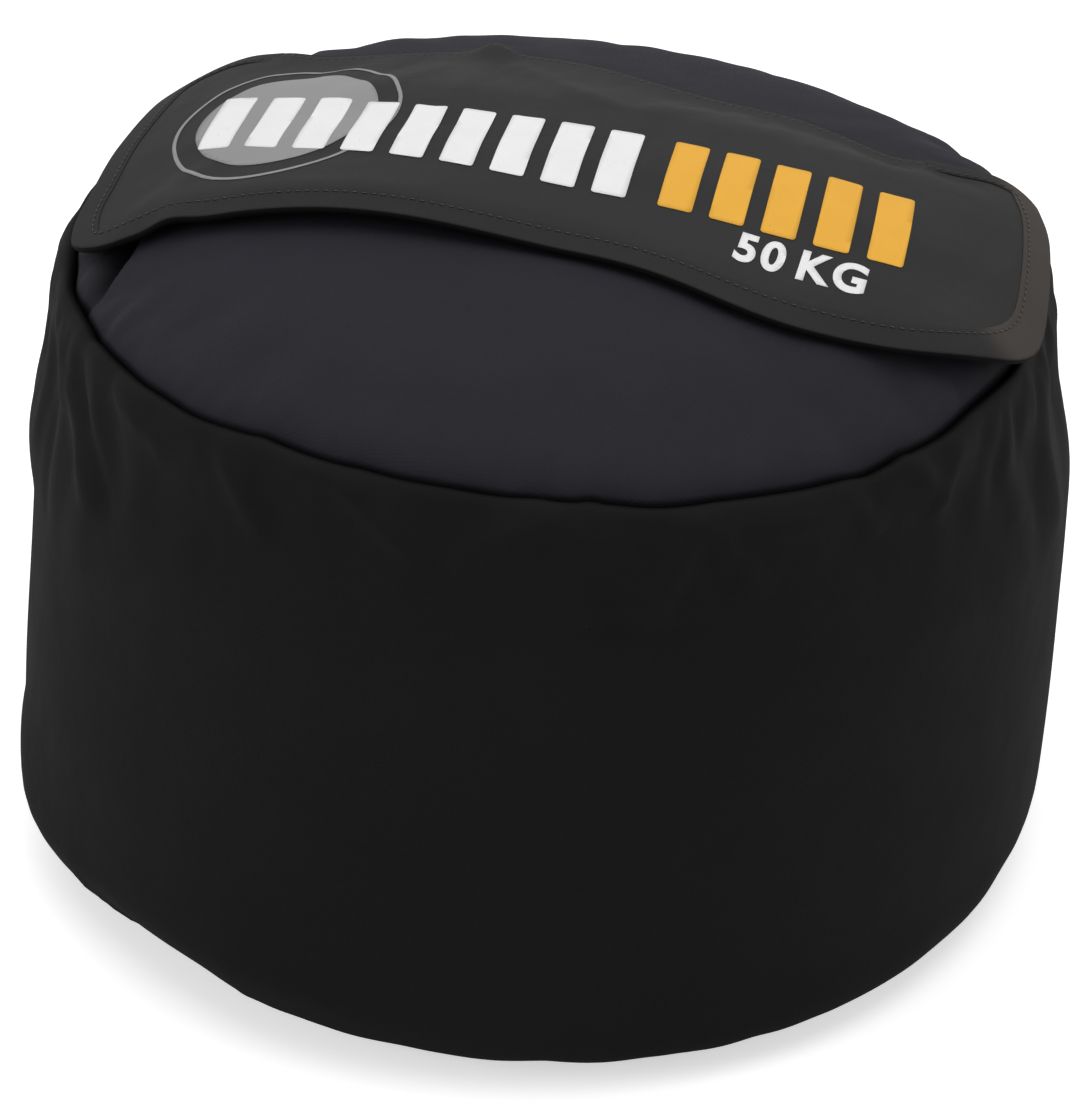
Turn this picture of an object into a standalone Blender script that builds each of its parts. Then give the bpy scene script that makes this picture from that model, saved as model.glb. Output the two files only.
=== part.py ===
"""Round sandbag trainer: a squat sewn bag of black nylon, filled with sand in a tied liner.

The top is two half discs joined by a zip along X. A wide flap, sewn down behind the zip, covers it.
Metres, +Z up. The origin is the middle of the base, on the floor.
"""

import math

import bmesh
import bpy
from mathutils import Matrix, Vector
from mathutils.geometry import interpolate_bezier

# Clearances
CLEARANCE = 0.0003
FOLD_CLEARANCE = 0.0008
OVERRUN = 0.002

# Cloth thicknesses, with their coating
SHELL_CLOTH = 0.0016
OUTER_PLY = 0.0012
INNER_PLY = 0.0010
BINDING_CLOTH = 0.0008
SEAM_TAPE_CLOTH = 0.0008
ZIP_TAPE_CLOTH = 0.0008
LINER_CLOTH = 0.0010
HOOK_CLOTH = 0.0016
LOOP_CLOTH = 0.0016

# Side wall: radii from the upright axis, heights above the floor
BULGE_RADIUS = 0.210
BULGE_HEIGHT = 0.036
WAIST_RADIUS = 0.2030
SHOULDER_RADIUS = 0.1955
SHOULDER_DROP = 0.023
RIM_RADIUS = 0.187
RIM_HEIGHT = 0.249
RIM_ROLL_WIDTH = 0.0030
RIM_ROLL_DROP = 0.0040
SEAM_ALLOWANCE = 0.010

# Base: the flat that stands on the floor, and the seam tucked under the bulge
BASE_TUCK = 0.012
BASE_SEAM_RADIUS = 0.168
BASE_SEAM_HEIGHT = 0.0045
BASE_ROLL_WIDTH = 0.0030
BASE_ROLL_HEIGHT = 0.0010

# Slump: the filled bag leans and its top tips to the right
TOP_LEAN = 0.010
TOP_TILT = math.radians(2.2)
SLUMP_FREE_DEPTH = 0.030

# Crown of the top, measured from the rim's plane
CROWN_HEIGHT = 0.042
CROWN_RADIUS = 0.650
CROWN_EDGE_RADIUS = 0.130

# Zip
SLOT_HALF = 0.0095
TAPE_LAP = 0.012
TOOTH_PITCH = 0.005
TOOTH_PAIRS = 44
NECK_WIDTH = 0.0016
HEAD_WIDTH = 0.0026
NECK_START = 0.0036
HEAD_LENGTH = 0.0028
HEAD_TIP_SHARE = 0.8
TOOTH_HALF_HEIGHT = 0.0014
BEAD_WIDTH = 0.0026
STOP_LENGTH = 0.003
TOOTH_GAP = 0.0004

# Slider and pull
SLIDER_LENGTH = 0.014
SLIDER_PLATE = 0.0016
SLIDER_FLANGE = 0.0014
SLIDER_NOSE_SHARE = 0.72
SLIDER_NOSE_LENGTH = 0.004
BAIL_WIDTH = 0.0020
BAIL_BAR = 0.0012
BAIL_HALF_LENGTH = 0.0040
PIVOT_RISE = 0.0016
PULL_THICKNESS = 0.0014
PULL_WIDTH = 0.0090
PULL_LENGTH = 0.026
PULL_BAR = 0.0016
PULL_WINDOW_LENGTH = 0.0054
PULL_HOLE_RADIUS = 0.0022
PULL_DROOP = math.radians(4.0)

# Flap, measured on the top: X along it, Y from its middle. It is sewn on a little askew.
FLAP_TURN = math.radians(-3.0)
FLAP_HALF_LENGTH = 0.179
FLAP_FRONT = 0.093
FLAP_REAR = 0.054
FLAP_SEWN_HALF = 0.135
FLAP_CORNER = 0.025
FLAP_BINDING_WIDTH = 0.010
DRAPE_RADIUS = 0.197
DRAPE_DROP = 0.012
LIFT_ROOT = 0.0017
LIFT_EDGE = 0.0038
LIFT_OVER_ZIP = 0.0072
LIFT_HUMP = 0.0085
HUMP_X = -0.062
HUMP_REACH = 0.085
ROOT_STRIP_WIDTH = 0.012

# Liner and its tie
LINER_GAP = 0.0014
LINER_CROWN_DROP = 0.020
NECK_RADIUS = 0.006
NECK_TIE_RADIUS = 0.0035
NECK_HEIGHT = 0.010
NECK_FLARE = 0.009
TIE_CORD = 0.0013

# How finely round pieces are cut
RING_SEGMENTS = 40
LINER_SEGMENTS = 20
CURVE_STEPS = 3
LONG_CURVE_STEPS = 4
CROWN_STEPS = 6
ARC_STEPS = 24
SEAM_TAPE_SHARES = (0.12, 0.88)
WALL_HANDLE_SHARE = 0.38
WAIST_RISE_SHARE = 0.68
CORNER_HANDLE_SHARE = 2 / 3
CORNER_STEPS = 4
SEWN_COLUMNS = 14
FLAP_ROWS = 7
FULL_TURN = 2 * math.pi

# What follows from the sizes above
HALF_CLEARANCE = CLEARANCE / 2
FLOOR_RADIUS = BASE_SEAM_RADIUS - BASE_TUCK
SHOULDER_HEIGHT = RIM_HEIGHT - SHOULDER_DROP
WAIST_HEIGHT = BULGE_HEIGHT + (SHOULDER_HEIGHT - BULGE_HEIGHT) * WAIST_RISE_SHARE
CROWN_CENTRE = CROWN_HEIGHT - CROWN_RADIUS
LAP_EDGE = SLOT_HALF + TAPE_LAP
LAP_SAG = CROWN_RADIUS - math.sqrt(CROWN_RADIUS**2 - LAP_EDGE**2)
CROWN_SAG = (CROWN_EDGE_RADIUS / CROWN_STEPS) ** 2 / CROWN_RADIUS / 4
ZIP_RADIUS = CROWN_RADIUS - SHELL_CLOTH - LAP_SAG - CROWN_SAG - CLEARANCE - ZIP_TAPE_CLOTH / 2
SLUMP_TOP = RIM_HEIGHT - SLUMP_FREE_DEPTH
FLAP_CORE_X = FLAP_HALF_LENGTH - FLAP_CORNER
FLAP_CORE_FRONT = FLAP_CORNER - FLAP_FRONT
FLAP_CORE_REAR = FLAP_REAR - FLAP_CORNER
CHAIN_HALF = TOOTH_PITCH * TOOTH_PAIRS / 2
BEAD_OUTER = NECK_START + BEAD_WIDTH
SLIDER_PARK = CHAIN_HALF - SLIDER_LENGTH / 2 - TOOTH_GAP
PLATE_BASE = TOOTH_HALF_HEIGHT + TOOTH_GAP
PLATE_TOP = PLATE_BASE + SLIDER_PLATE
PIVOT_HEIGHT = PLATE_TOP + PIVOT_RISE
PLY_GAP_HALF = HALF_CLEARANCE
HOOK_DROP = PLY_GAP_HALF + INNER_PLY + CLEARANCE
LIFT_OVER_HOOKS = HOOK_DROP + HOOK_CLOTH + CLEARANCE + LOOP_CLOTH + CLEARANCE
ROW_SPACING = (FLAP_FRONT + FLAP_REAR - 2 * FLAP_BINDING_WIDTH) / FLAP_ROWS
HOOK_FRONT = FLAP_FRONT - FLAP_BINDING_WIDTH - ROW_SPACING
HOOK_REAR = HOOK_FRONT - ROW_SPACING

BLACK_NYLON = ((0.010, 0.010, 0.011), 0.72, 0.0)
TOP_NYLON = ((0.026, 0.025, 0.031), 0.74, 0.0)
FLAP_NYLON = ((0.036, 0.036, 0.036), 0.70, 0.0)
TAUPE_BINDING = ((0.078, 0.069, 0.063), 0.80, 0.0)
BLACK_WEBBING = ((0.016, 0.016, 0.016), 0.82, 0.0)
ZIP_BLACK = ((0.014, 0.014, 0.015), 0.38, 0.0)
ZIP_TAPE_BLACK = ((0.018, 0.018, 0.019), 0.85, 0.0)
DARK_METAL = ((0.20, 0.20, 0.21), 0.34, 1.0)
LINER_WHITE = ((0.52, 0.51, 0.47), 0.60, 0.0)
CORD_WHITE = ((0.70, 0.68, 0.62), 0.75, 0.0)
DRY_SAND = ((0.43, 0.33, 0.21), 0.95, 0.0)


def clear_scene():
    """Removes whatever the file opened with."""
    for obj in list(bpy.data.objects):
        bpy.data.objects.remove(obj, do_unlink=True)


def finish_of(name, look):
    """A Principled material of its own for one sub-part."""
    colour, roughness, metallic = look
    made = bpy.data.materials.new(name)
    made.use_nodes = True
    shader = made.node_tree.nodes["Principled BSDF"]
    shader.inputs["Base Color"].default_value = (*colour, 1.0)
    shader.inputs["Roughness"].default_value = roughness
    shader.inputs["Metallic"].default_value = metallic
    return made


def make_empty(name, location, parent=None):
    """An empty that pieces hang on."""
    empty = bpy.data.objects.new(name, None)
    empty.location = location
    empty.parent = parent
    bpy.context.scene.collection.objects.link(empty)
    return empty


def make_piece(name, bm, look, parent=None, origin=Vector(), smooth=True):
    """Turns a bmesh, given in its parent's frame, into a named object with its origin where stated."""
    bmesh.ops.translate(bm, vec=-origin, verts=bm.verts)
    mesh = bpy.data.meshes.new(name)
    bm.to_mesh(mesh)
    bm.free()
    if smooth:
        mesh.shade_smooth()
        mesh.set_sharp_from_angle(angle=math.radians(40))
    mesh.materials.append(finish_of(name, look))
    obj = bpy.data.objects.new(name, mesh)
    obj.location = origin
    obj.parent = parent
    bpy.context.scene.collection.objects.link(obj)
    return obj


def make_helper(name, bm):
    """A hidden mesh that a Boolean uses."""
    obj = make_piece(name, bm, BLACK_NYLON, smooth=False)
    obj.hide_render = True
    obj.display_type = "WIRE"
    return obj


def thicken(obj, thickness, side, even=True):
    """Gives a sheet its thickness: side -1 goes behind its faces, 1 in front of them."""
    solid = obj.modifiers.new("thickness", "SOLIDIFY")
    solid.thickness = thickness
    solid.offset = side
    solid.use_even_offset = even
    solid.use_rim = True


def boolean(obj, other, operation):
    """Joins or cuts with a helper mesh."""
    cut = obj.modifiers.new(other.name, "BOOLEAN")
    cut.operation = operation
    cut.object = other
    cut.solver = "EXACT"


def straight_run(start, end):
    """The two ends of a straight stretch of a profile."""
    return [Vector(start), Vector(end)]


def corner_run(start, corner, end, steps):
    """A rounded stretch of a profile that leaves start towards corner and reaches end from it."""
    start, corner, end = Vector(start), Vector(corner), Vector(end)
    handle_a = start.lerp(corner, CORNER_HANDLE_SHARE)
    handle_b = end.lerp(corner, CORNER_HANDLE_SHARE)
    return interpolate_bezier(start, handle_a, handle_b, end, steps + 1)


def upright_run(lower, upper, steps):
    """A stretch of the wall that is upright at both ends."""
    lower, upper = Vector(lower), Vector(upper)
    rise = Vector((0, (upper.y - lower.y) * WALL_HANDLE_SHARE))
    return interpolate_bezier(lower, lower + rise, upper - rise, upper, steps + 1)


def join_runs(*runs):
    """One list of points from stretches whose ends meet."""
    points = []
    for run in runs:
        for point in run:
            if not points or (Vector(point) - points[-1]).length > HALF_CLEARANCE / 2:
                points.append(Vector(point))
    return points


def inset_profile(points, distance):
    """The same profile moved to its left by a distance, for a piece that lies inside it."""
    runs = [(after - before).normalized() for before, after in zip(points, points[1:])]
    moved = []
    for index, point in enumerate(points):
        arriving = runs[max(index - 1, 0)]
        leaving = runs[min(index, len(runs) - 1)]
        along = (arriving + leaving).normalized()
        moved.append(point + Vector((-along.y, along.x)) * distance / along.dot(leaving))
    return moved


def spin_profile(points, segments=RING_SEGMENTS):
    """Turns a profile of (radius, height) about the upright axis. Its outer side is on the right of travel."""
    bm = bmesh.new()
    verts = [bm.verts.new((radius, 0, height)) for radius, height in points]
    edges = [bm.edges.new(pair) for pair in zip(verts, verts[1:])]
    bmesh.ops.spin(
        bm, geom=verts + edges, axis=(0, 0, 1), cent=(0, 0, 0),
        angle=FULL_TURN, steps=segments, use_merge=True,
    )
    bmesh.ops.remove_doubles(bm, verts=bm.verts, dist=CLEARANCE / 10)
    face_right_of(bm, points)
    return bm


def face_right_of(bm, points):
    """Turns all faces so that they look to the right of the profile's travel."""
    bm.normal_update()
    longest = max(range(len(points) - 1), key=lambda n: (points[n + 1] - points[n]).length)
    start, end = points[longest], points[longest + 1]
    middle, along = (start + end) / 2, end - start
    nearest = min(
        bm.faces,
        key=lambda f: (Vector((f.calc_center_median().xy.length, f.calc_center_median().z)) - middle).length,
    )
    centre = nearest.calc_center_median()
    outward = centre.xy.normalized()
    want = Vector((outward.x * along.y, outward.y * along.y, -along.x))
    if nearest.normal.dot(want) < 0:
        bmesh.ops.reverse_faces(bm, faces=bm.faces)


def slumped(point):
    """Where a point of the upright bag goes once the bag has slumped. Near the rim it moves as one."""
    share = smooth_share(point.z, 0, SLUMP_TOP)
    angle = TOP_TILT * share
    above = max(point.z - SLUMP_TOP, 0)
    level = min(point.z, SLUMP_TOP)
    return Vector((
        TOP_LEAN * share + point.x * math.cos(angle) + above * math.sin(angle),
        point.y,
        level - point.x * math.sin(angle) + above * math.cos(angle),
    ))


def slump(bm):
    """Leans and tips a whole mesh with the bag."""
    for vert in bm.verts:
        vert.co = slumped(vert.co)
    bm.normal_update()
    return bm


def wall_side():
    """The wall's outer line from the bulge, past the waist, to the shoulder."""
    return join_runs(
        upright_run((BULGE_RADIUS, BULGE_HEIGHT), (WAIST_RADIUS, WAIST_HEIGHT), LONG_CURVE_STEPS),
        upright_run((WAIST_RADIUS, WAIST_HEIGHT), (SHOULDER_RADIUS, SHOULDER_HEIGHT), 1),
    )


def wall_profile():
    """The side wall's outer line, from the allowance inside the base seam to the one inside the rim."""
    base_in = BASE_SEAM_RADIUS + HALF_CLEARANCE
    base_roll = base_in + BASE_ROLL_WIDTH
    rim_in = RIM_RADIUS + HALF_CLEARANCE
    rim_roll = rim_in + RIM_ROLL_WIDTH
    rim_low = RIM_HEIGHT - RIM_ROLL_DROP
    return join_runs(
        straight_run((base_in, BASE_SEAM_HEIGHT + SEAM_ALLOWANCE), (base_in, BASE_SEAM_HEIGHT)),
        corner_run(
            (base_in, BASE_SEAM_HEIGHT), (base_in, BASE_ROLL_HEIGHT),
            (base_roll, BASE_ROLL_HEIGHT), CURVE_STEPS - 1,
        ),
        corner_run(
            (base_roll, BASE_ROLL_HEIGHT), (BULGE_RADIUS, BASE_ROLL_HEIGHT),
            (BULGE_RADIUS, BULGE_HEIGHT), LONG_CURVE_STEPS,
        ),
        wall_side(),
        corner_run(
            (SHOULDER_RADIUS, SHOULDER_HEIGHT), (SHOULDER_RADIUS, RIM_HEIGHT),
            (rim_roll, RIM_HEIGHT), CURVE_STEPS,
        ),
        corner_run((rim_roll, RIM_HEIGHT), (rim_in, RIM_HEIGHT), (rim_in, rim_low), CURVE_STEPS - 1),
        straight_run((rim_in, rim_low), (rim_in, RIM_HEIGHT - SEAM_ALLOWANCE - RIM_ROLL_DROP)),
    )


def make_side_wall():
    """The wall: one loop of cloth, its edges turned in at the base and the rim."""
    wall = make_piece("side_wall", slump(spin_profile(wall_profile())), BLACK_NYLON)
    thicken(wall, SHELL_CLOTH, -1)


def make_side_seam_tape():
    """The tape inside the wall's upright seam, at the back."""
    inside = inset_profile(wall_side(), SHELL_CLOTH + CLEARANCE)
    first = FULL_TURN / 4
    last = first + FULL_TURN / RING_SEGMENTS
    lines = []
    for share in SEAM_TAPE_SHARES:
        line = []
        for radius, height in inside:
            near = Vector((radius * math.cos(first), radius * math.sin(first), height))
            far = Vector((radius * math.cos(last), radius * math.sin(last), height))
            line.append(near.lerp(far, share))
        lines.append(line)
    bm = slump(loft(lines))
    tape = make_piece("side_seam_tape", bm, BLACK_WEBBING)
    thicken(tape, SEAM_TAPE_CLOTH, facing(bm_of(tape), Vector((0, -1, 0))))


def bm_of(obj):
    """A bmesh copy of an object's mesh, with its normals ready."""
    bm = bmesh.new()
    bm.from_mesh(obj.data)
    bm.normal_update()
    return bm


def facing(bm, direction):
    """1 where a sheet's faces look along a direction, otherwise -1."""
    total = sum((face.normal * face.calc_area() for face in bm.faces), Vector())
    bm.free()
    return 1 if total.dot(direction) > 0 else -1


def loft(lines):
    """A sheet through lines of points: the first line is made, then extruded from line to line."""
    bm = bmesh.new()
    row = [bm.verts.new(point) for point in lines[0]]
    for pair in zip(row, row[1:]):
        bm.edges.new(pair)
    for line in lines[1:]:
        edges = [bm.edges.get(pair) for pair in zip(row, row[1:])]
        bmesh.ops.extrude_edge_only(bm, edges=edges)
        mates = {}
        for vert in row:
            for edge in vert.link_edges:
                other = edge.other_vert(vert)
                if (other.co - vert.co).length == 0:
                    mates[vert] = other
        row = [mates[vert] for vert in row]
        for vert, point in zip(row, line):
            vert.co = point
    bmesh.ops.recalc_face_normals(bm, faces=bm.faces)
    bm.normal_update()
    return bm


def make_bottom_panel():
    """The round base: flat on the floor, its edge rising to the seam and turned in."""
    edge = BASE_SEAM_RADIUS - HALF_CLEARANCE
    profile = join_runs(
        straight_run((0, 0), (FLOOR_RADIUS / 2, 0)),
        straight_run((FLOOR_RADIUS / 2, 0), (FLOOR_RADIUS, 0)),
        corner_run((FLOOR_RADIUS, 0), (edge, 0), (edge, BASE_SEAM_HEIGHT), CURVE_STEPS - 1),
        straight_run((edge, BASE_SEAM_HEIGHT), (edge, BASE_SEAM_HEIGHT + SEAM_ALLOWANCE)),
    )
    panel = make_piece("bottom_panel", slump(spin_profile(profile)), BLACK_NYLON)
    thicken(panel, SHELL_CLOTH, -1)


def make_seam_binding(name, radius, edge_height, side, parent=None):
    """A tape folded round both allowances. side is 1 where they end above it, -1 where below."""
    reach = HALF_CLEARANCE + SHELL_CLOTH + CLEARANCE
    end = edge_height + side * CLEARANCE
    open_end = end - side * SEAM_ALLOWANCE / 2
    profile = [
        Vector((radius + reach, open_end)), Vector((radius + reach, end)),
        Vector((radius - reach, end)), Vector((radius - reach, open_end)),
    ]
    if side < 0:
        profile.reverse()
    bm = spin_profile(profile)
    if parent is None:
        slump(bm)
    binding = make_piece(name, bm, BLACK_WEBBING, parent=parent)
    thicken(binding, BINDING_CLOTH, 1)


def crown_height(radius):
    """Height of the crown's round middle at a radius."""
    return CROWN_CENTRE + math.sqrt(CROWN_RADIUS**2 - radius**2)


def crown_slope(radius):
    """Fall of the crown for each metre outwards."""
    return -radius / math.sqrt(CROWN_RADIUS**2 - radius**2)


def dome_profile():
    """The top's outer line, from the allowance inside the rim to the middle of the crown."""
    edge = RIM_RADIUS - HALF_CLEARANCE
    edge_height = crown_height(CROWN_EDGE_RADIUS)
    corner_height = edge_height + crown_slope(CROWN_EDGE_RADIUS) * (edge - CROWN_EDGE_RADIUS)
    rings = [CROWN_EDGE_RADIUS * step / CROWN_STEPS for step in range(CROWN_STEPS, -1, -1)]
    return join_runs(
        straight_run((edge, -SEAM_ALLOWANCE - RIM_ROLL_DROP), (edge, -RIM_ROLL_DROP)),
        corner_run(
            (edge, -RIM_ROLL_DROP), (edge, corner_height),
            (CROWN_EDGE_RADIUS, edge_height), LONG_CURVE_STEPS,
        ),
        [(radius, crown_height(radius)) for radius in rings],
    )


def cut_away(bm, point, normal):
    """Cuts a sheet at a plane and drops what lies beyond it."""
    bmesh.ops.bisect_plane(
        bm, geom=bm.verts[:] + bm.edges[:] + bm.faces[:], dist=CLEARANCE / 10,
        plane_co=point, plane_no=normal, clear_outer=True,
    )
    return bm


def make_top_panels(parent):
    """The two half discs of the top, either side of the zip's slot."""
    for name, side in (("front_top_panel", -1), ("rear_top_panel", 1)):
        bm = cut_away(spin_profile(dome_profile()), (0, side * SLOT_HALF, 0), (0, -side, 0))
        panel = make_piece(name, bm, TOP_NYLON, parent=parent)
        thicken(panel, SHELL_CLOTH, -1)


def make_zip_end_panels(parent):
    """The short strips that close the slot between the zip's ends and the rim."""
    start = ZIP_RADIUS * math.sin((CHAIN_HALF + STOP_LENGTH + 2 * TOOTH_GAP) / ZIP_RADIUS)
    edge = SLOT_HALF - CLEARANCE
    for name, side in (("zip_end_panel_left", -1), ("zip_end_panel_right", 1)):
        bm = spin_profile(dome_profile())
        cut_away(bm, (0, edge, 0), (0, 1, 0))
        cut_away(bm, (0, -edge, 0), (0, -1, 0))
        cut_away(bm, (side * start, 0, 0), (-side, 0, 0))
        panel = make_piece(name, bm, BLACK_WEBBING, parent=parent)
        thicken(panel, SHELL_CLOTH, -1)


def arc_sweep(section, start, end, steps):
    """Sweeps a closed section of (y, height over the zip's arc) along the arc, between two places on it."""
    bm = bmesh.new()
    turn_in = Matrix.Rotation(start / ZIP_RADIUS, 3, "Y")
    verts = [bm.verts.new(turn_in @ Vector((0, y, ZIP_RADIUS + rise))) for y, rise in section]
    face = bm.faces.new(verts)
    bmesh.ops.spin(
        bm, geom=[face], axis=(0, 1, 0), cent=(0, 0, 0),
        angle=(end - start) / ZIP_RADIUS, steps=steps,
    )
    bmesh.ops.translate(bm, vec=(0, 0, CROWN_CENTRE), verts=bm.verts)
    bmesh.ops.recalc_face_normals(bm, faces=bm.faces)
    return bm


def extruded_bar(bm, face, moves):
    """Extrudes a lone face step by step into a closed bar, and returns its far face."""
    grown = bmesh.ops.extrude_face_region(bm, geom=[face])["geom"]
    end = next(item for item in grown if isinstance(item, bmesh.types.BMFace))
    bmesh.ops.translate(bm, vec=moves[0], verts=end.verts)
    for move in moves[1:]:
        end = bmesh.ops.extrude_discrete_faces(bm, faces=[end])["faces"][0]
        bmesh.ops.translate(bm, vec=move, verts=end.verts)
    bmesh.ops.recalc_face_normals(bm, faces=bm.faces)
    bm.normal_update()
    return end


def box_section(inner, outer, low, high):
    """A rectangle of (y, height) points."""
    return [(inner, low), (outer, low), (outer, high), (inner, high)]


def make_zip_tapes(parent):
    """The two tapes, from under the panels' edges to the corded edges that carry the teeth."""
    half = ZIP_TAPE_CLOTH / 2
    for name, side in (("zip_tape_front", -1), ("zip_tape_rear", 1)):
        section = box_section(side * (BEAD_OUTER + CLEARANCE), side * LAP_EDGE, -half, half)
        bm = arc_sweep(section, -CHAIN_HALF - STOP_LENGTH, CHAIN_HALF + STOP_LENGTH, ARC_STEPS)
        make_piece(name, bm, ZIP_TAPE_BLACK, parent=parent)


def straight_bead(stations):
    """The corded edge as a straight bar, extruded from station to station along X."""
    bm = bmesh.new()
    section = box_section(-BEAD_OUTER, -NECK_START, -TOOTH_HALF_HEIGHT, TOOTH_HALF_HEIGHT)
    face = bm.faces.new([bm.verts.new((stations[0], y, z)) for y, z in section])
    extruded_bar(bm, face, [(after - before, 0, 0) for before, after in zip(stations, stations[1:])])
    return bm


def grow_faces(bm, faces, move):
    """Extrudes faces one by one and moves what grew."""
    grown = bmesh.ops.extrude_discrete_faces(bm, faces=faces)["faces"]
    bmesh.ops.translate(bm, vec=move, verts=[vert for face in grown for vert in face.verts])
    return grown


def scale_faces(faces, share_x, share_z):
    """Scales each face about its own middle."""
    for face in faces:
        centre = face.calc_center_median()
        for vert in face.verts:
            away = vert.co - centre
            vert.co = centre + Vector((away.x * share_x, away.y, away.z * share_z))


def toothed_bead(centres):
    """A straight bar with a locking tooth, neck and wider head, at each centre along X."""
    half = NECK_WIDTH / 2
    stations = [-CHAIN_HALF]
    for centre in centres:
        stations += [centre - half, centre + half]
    stations.append(CHAIN_HALF)
    bm = straight_bead(stations)
    necks = [
        face for face in bm.faces
        if face.normal.y > 0.9 and min(abs(face.calc_center_median().x - c) for c in centres) < half / 2
    ]
    necks = grow_faces(bm, necks, (0, NECK_START + TOOTH_GAP / 2, 0))
    heads = grow_faces(bm, necks, (0, 0, 0))
    scale_faces(heads, HEAD_WIDTH / NECK_WIDTH, 1)
    heads = grow_faces(bm, heads, (0, HEAD_LENGTH, 0))
    scale_faces(heads, HEAD_TIP_SHARE, HEAD_TIP_SHARE)
    bmesh.ops.recalc_face_normals(bm, faces=bm.faces)
    return bm


def bend_to_arc(bm):
    """Bends a straight strip along X onto the zip's arc."""
    for vert in bm.verts:
        angle = vert.co.x / ZIP_RADIUS
        radius = ZIP_RADIUS + vert.co.z
        vert.co = Vector((
            radius * math.sin(angle), vert.co.y, CROWN_CENTRE + radius * math.cos(angle),
        ))
    return bm


def make_zip_teeth(parent):
    """Both toothed edges. The rear one is the front one turned round, so its teeth fall between."""
    first = -CHAIN_HALF + TOOTH_PITCH / 4
    centres = [first + TOOTH_PITCH * index for index in range(TOOTH_PAIRS)]
    front = bend_to_arc(toothed_bead(centres))
    make_piece("zip_teeth_front", front, ZIP_BLACK, parent=parent)
    rear = toothed_bead(centres)
    bmesh.ops.rotate(rear, verts=rear.verts, cent=(0, 0, 0), matrix=Matrix.Rotation(math.pi, 3, "Z"))
    make_piece("zip_teeth_rear", bend_to_arc(rear), ZIP_BLACK, parent=parent)


def make_zip_stops(parent):
    """The blocks that end the chain, one at each end."""
    section = box_section(-BEAD_OUTER, BEAD_OUTER, -TOOTH_HALF_HEIGHT, TOOTH_HALF_HEIGHT)
    inner = CHAIN_HALF + TOOTH_GAP
    for name, side in (("zip_stop_left", -1), ("zip_stop_right", 1)):
        bm = arc_sweep(section, side * inner, side * (inner + STOP_LENGTH), 1)
        bmesh.ops.bevel(
            bm, geom=bm.edges[:], offset=TOOTH_GAP, segments=1, profile=0.5,
            affect="EDGES", material=-1,
        )
        make_piece(name, bm, DARK_METAL, parent=parent)


def plate_section(side):
    """One slider plate seen along the chain: flat, with a flange turned in over each bead."""
    channel = BEAD_OUTER + TOOTH_GAP
    outer = channel + SLIDER_FLANGE
    lip = ZIP_TAPE_CLOTH / 2 + TOOTH_GAP
    rises = [(-outer, lip), (-outer, PLATE_TOP), (outer, PLATE_TOP), (outer, lip),
             (channel, lip), (channel, PLATE_BASE), (-channel, PLATE_BASE), (-channel, lip)]
    return [(y, side * rise) for y, rise in rises]


def slider_plate(side):
    """A slider plate with its outer face drawn in towards the nose."""
    bm = bmesh.new()
    half = SLIDER_LENGTH / 2
    face = bm.faces.new([bm.verts.new((-half, y, z)) for y, z in plate_section(side)])
    steps = (SLIDER_LENGTH - SLIDER_NOSE_LENGTH, SLIDER_NOSE_LENGTH)
    nose = extruded_bar(bm, face, [(step, 0, 0) for step in steps])
    for vert in nose.verts:
        if abs(abs(vert.co.z) - PLATE_TOP) < CLEARANCE / 10:
            vert.co.y *= SLIDER_NOSE_SHARE
            vert.co.z = side * (PLATE_BASE + SLIDER_PLATE * SLIDER_NOSE_SHARE)
    return bm


def bail_mesh():
    """The arch on the slider that holds the pull, with its feet sunk in the plate."""
    inner = BAIL_HALF_LENGTH - BAIL_BAR
    arch_top = PIVOT_HEIGHT + math.hypot(PULL_BAR / 2, PULL_THICKNESS / 2) + TOOTH_GAP
    foot = PLATE_TOP - SLIDER_PLATE / 2
    half = BAIL_WIDTH / 2
    outer_line = join_runs(
        straight_run((-BAIL_HALF_LENGTH, foot), (-BAIL_HALF_LENGTH, PIVOT_HEIGHT)),
        corner_run(
            (-BAIL_HALF_LENGTH, PIVOT_HEIGHT), (-BAIL_HALF_LENGTH, arch_top + BAIL_BAR),
            (0, arch_top + BAIL_BAR), CURVE_STEPS,
        ),
        corner_run(
            (0, arch_top + BAIL_BAR), (BAIL_HALF_LENGTH, arch_top + BAIL_BAR),
            (BAIL_HALF_LENGTH, PIVOT_HEIGHT), CURVE_STEPS,
        ),
        straight_run((BAIL_HALF_LENGTH, PIVOT_HEIGHT), (BAIL_HALF_LENGTH, foot)),
    )
    inner_line = join_runs(
        straight_run((inner, foot), (inner, PIVOT_HEIGHT)),
        corner_run((inner, PIVOT_HEIGHT), (inner, arch_top), (0, arch_top), CURVE_STEPS),
        corner_run((0, arch_top), (-inner, arch_top), (-inner, PIVOT_HEIGHT), CURVE_STEPS),
        straight_run((-inner, PIVOT_HEIGHT), (-inner, foot)),
    )
    bm = bmesh.new()
    face = bm.faces.new([bm.verts.new((x, -half, z)) for x, z in outer_line + inner_line])
    extruded_bar(bm, face, [(0, BAIL_WIDTH, 0)])
    return bm


def make_slider(parent):
    """The slider's two plates. The nose between them is left out, because the chain passes there."""
    seat = Vector((0, 0, ZIP_RADIUS))
    for name, side in (("zip_slider_upper", 1), ("zip_slider_lower", -1)):
        bm = slider_plate(side)
        bmesh.ops.translate(bm, vec=seat, verts=bm.verts)
        plate = make_piece(name, bm, DARK_METAL, parent=parent, origin=seat, smooth=False)
        if side > 0:
            bail = make_helper("bail_helper", bail_mesh())
            bail.parent = parent
            bail.location = seat
            boolean(plate, bail, "UNION")


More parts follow.
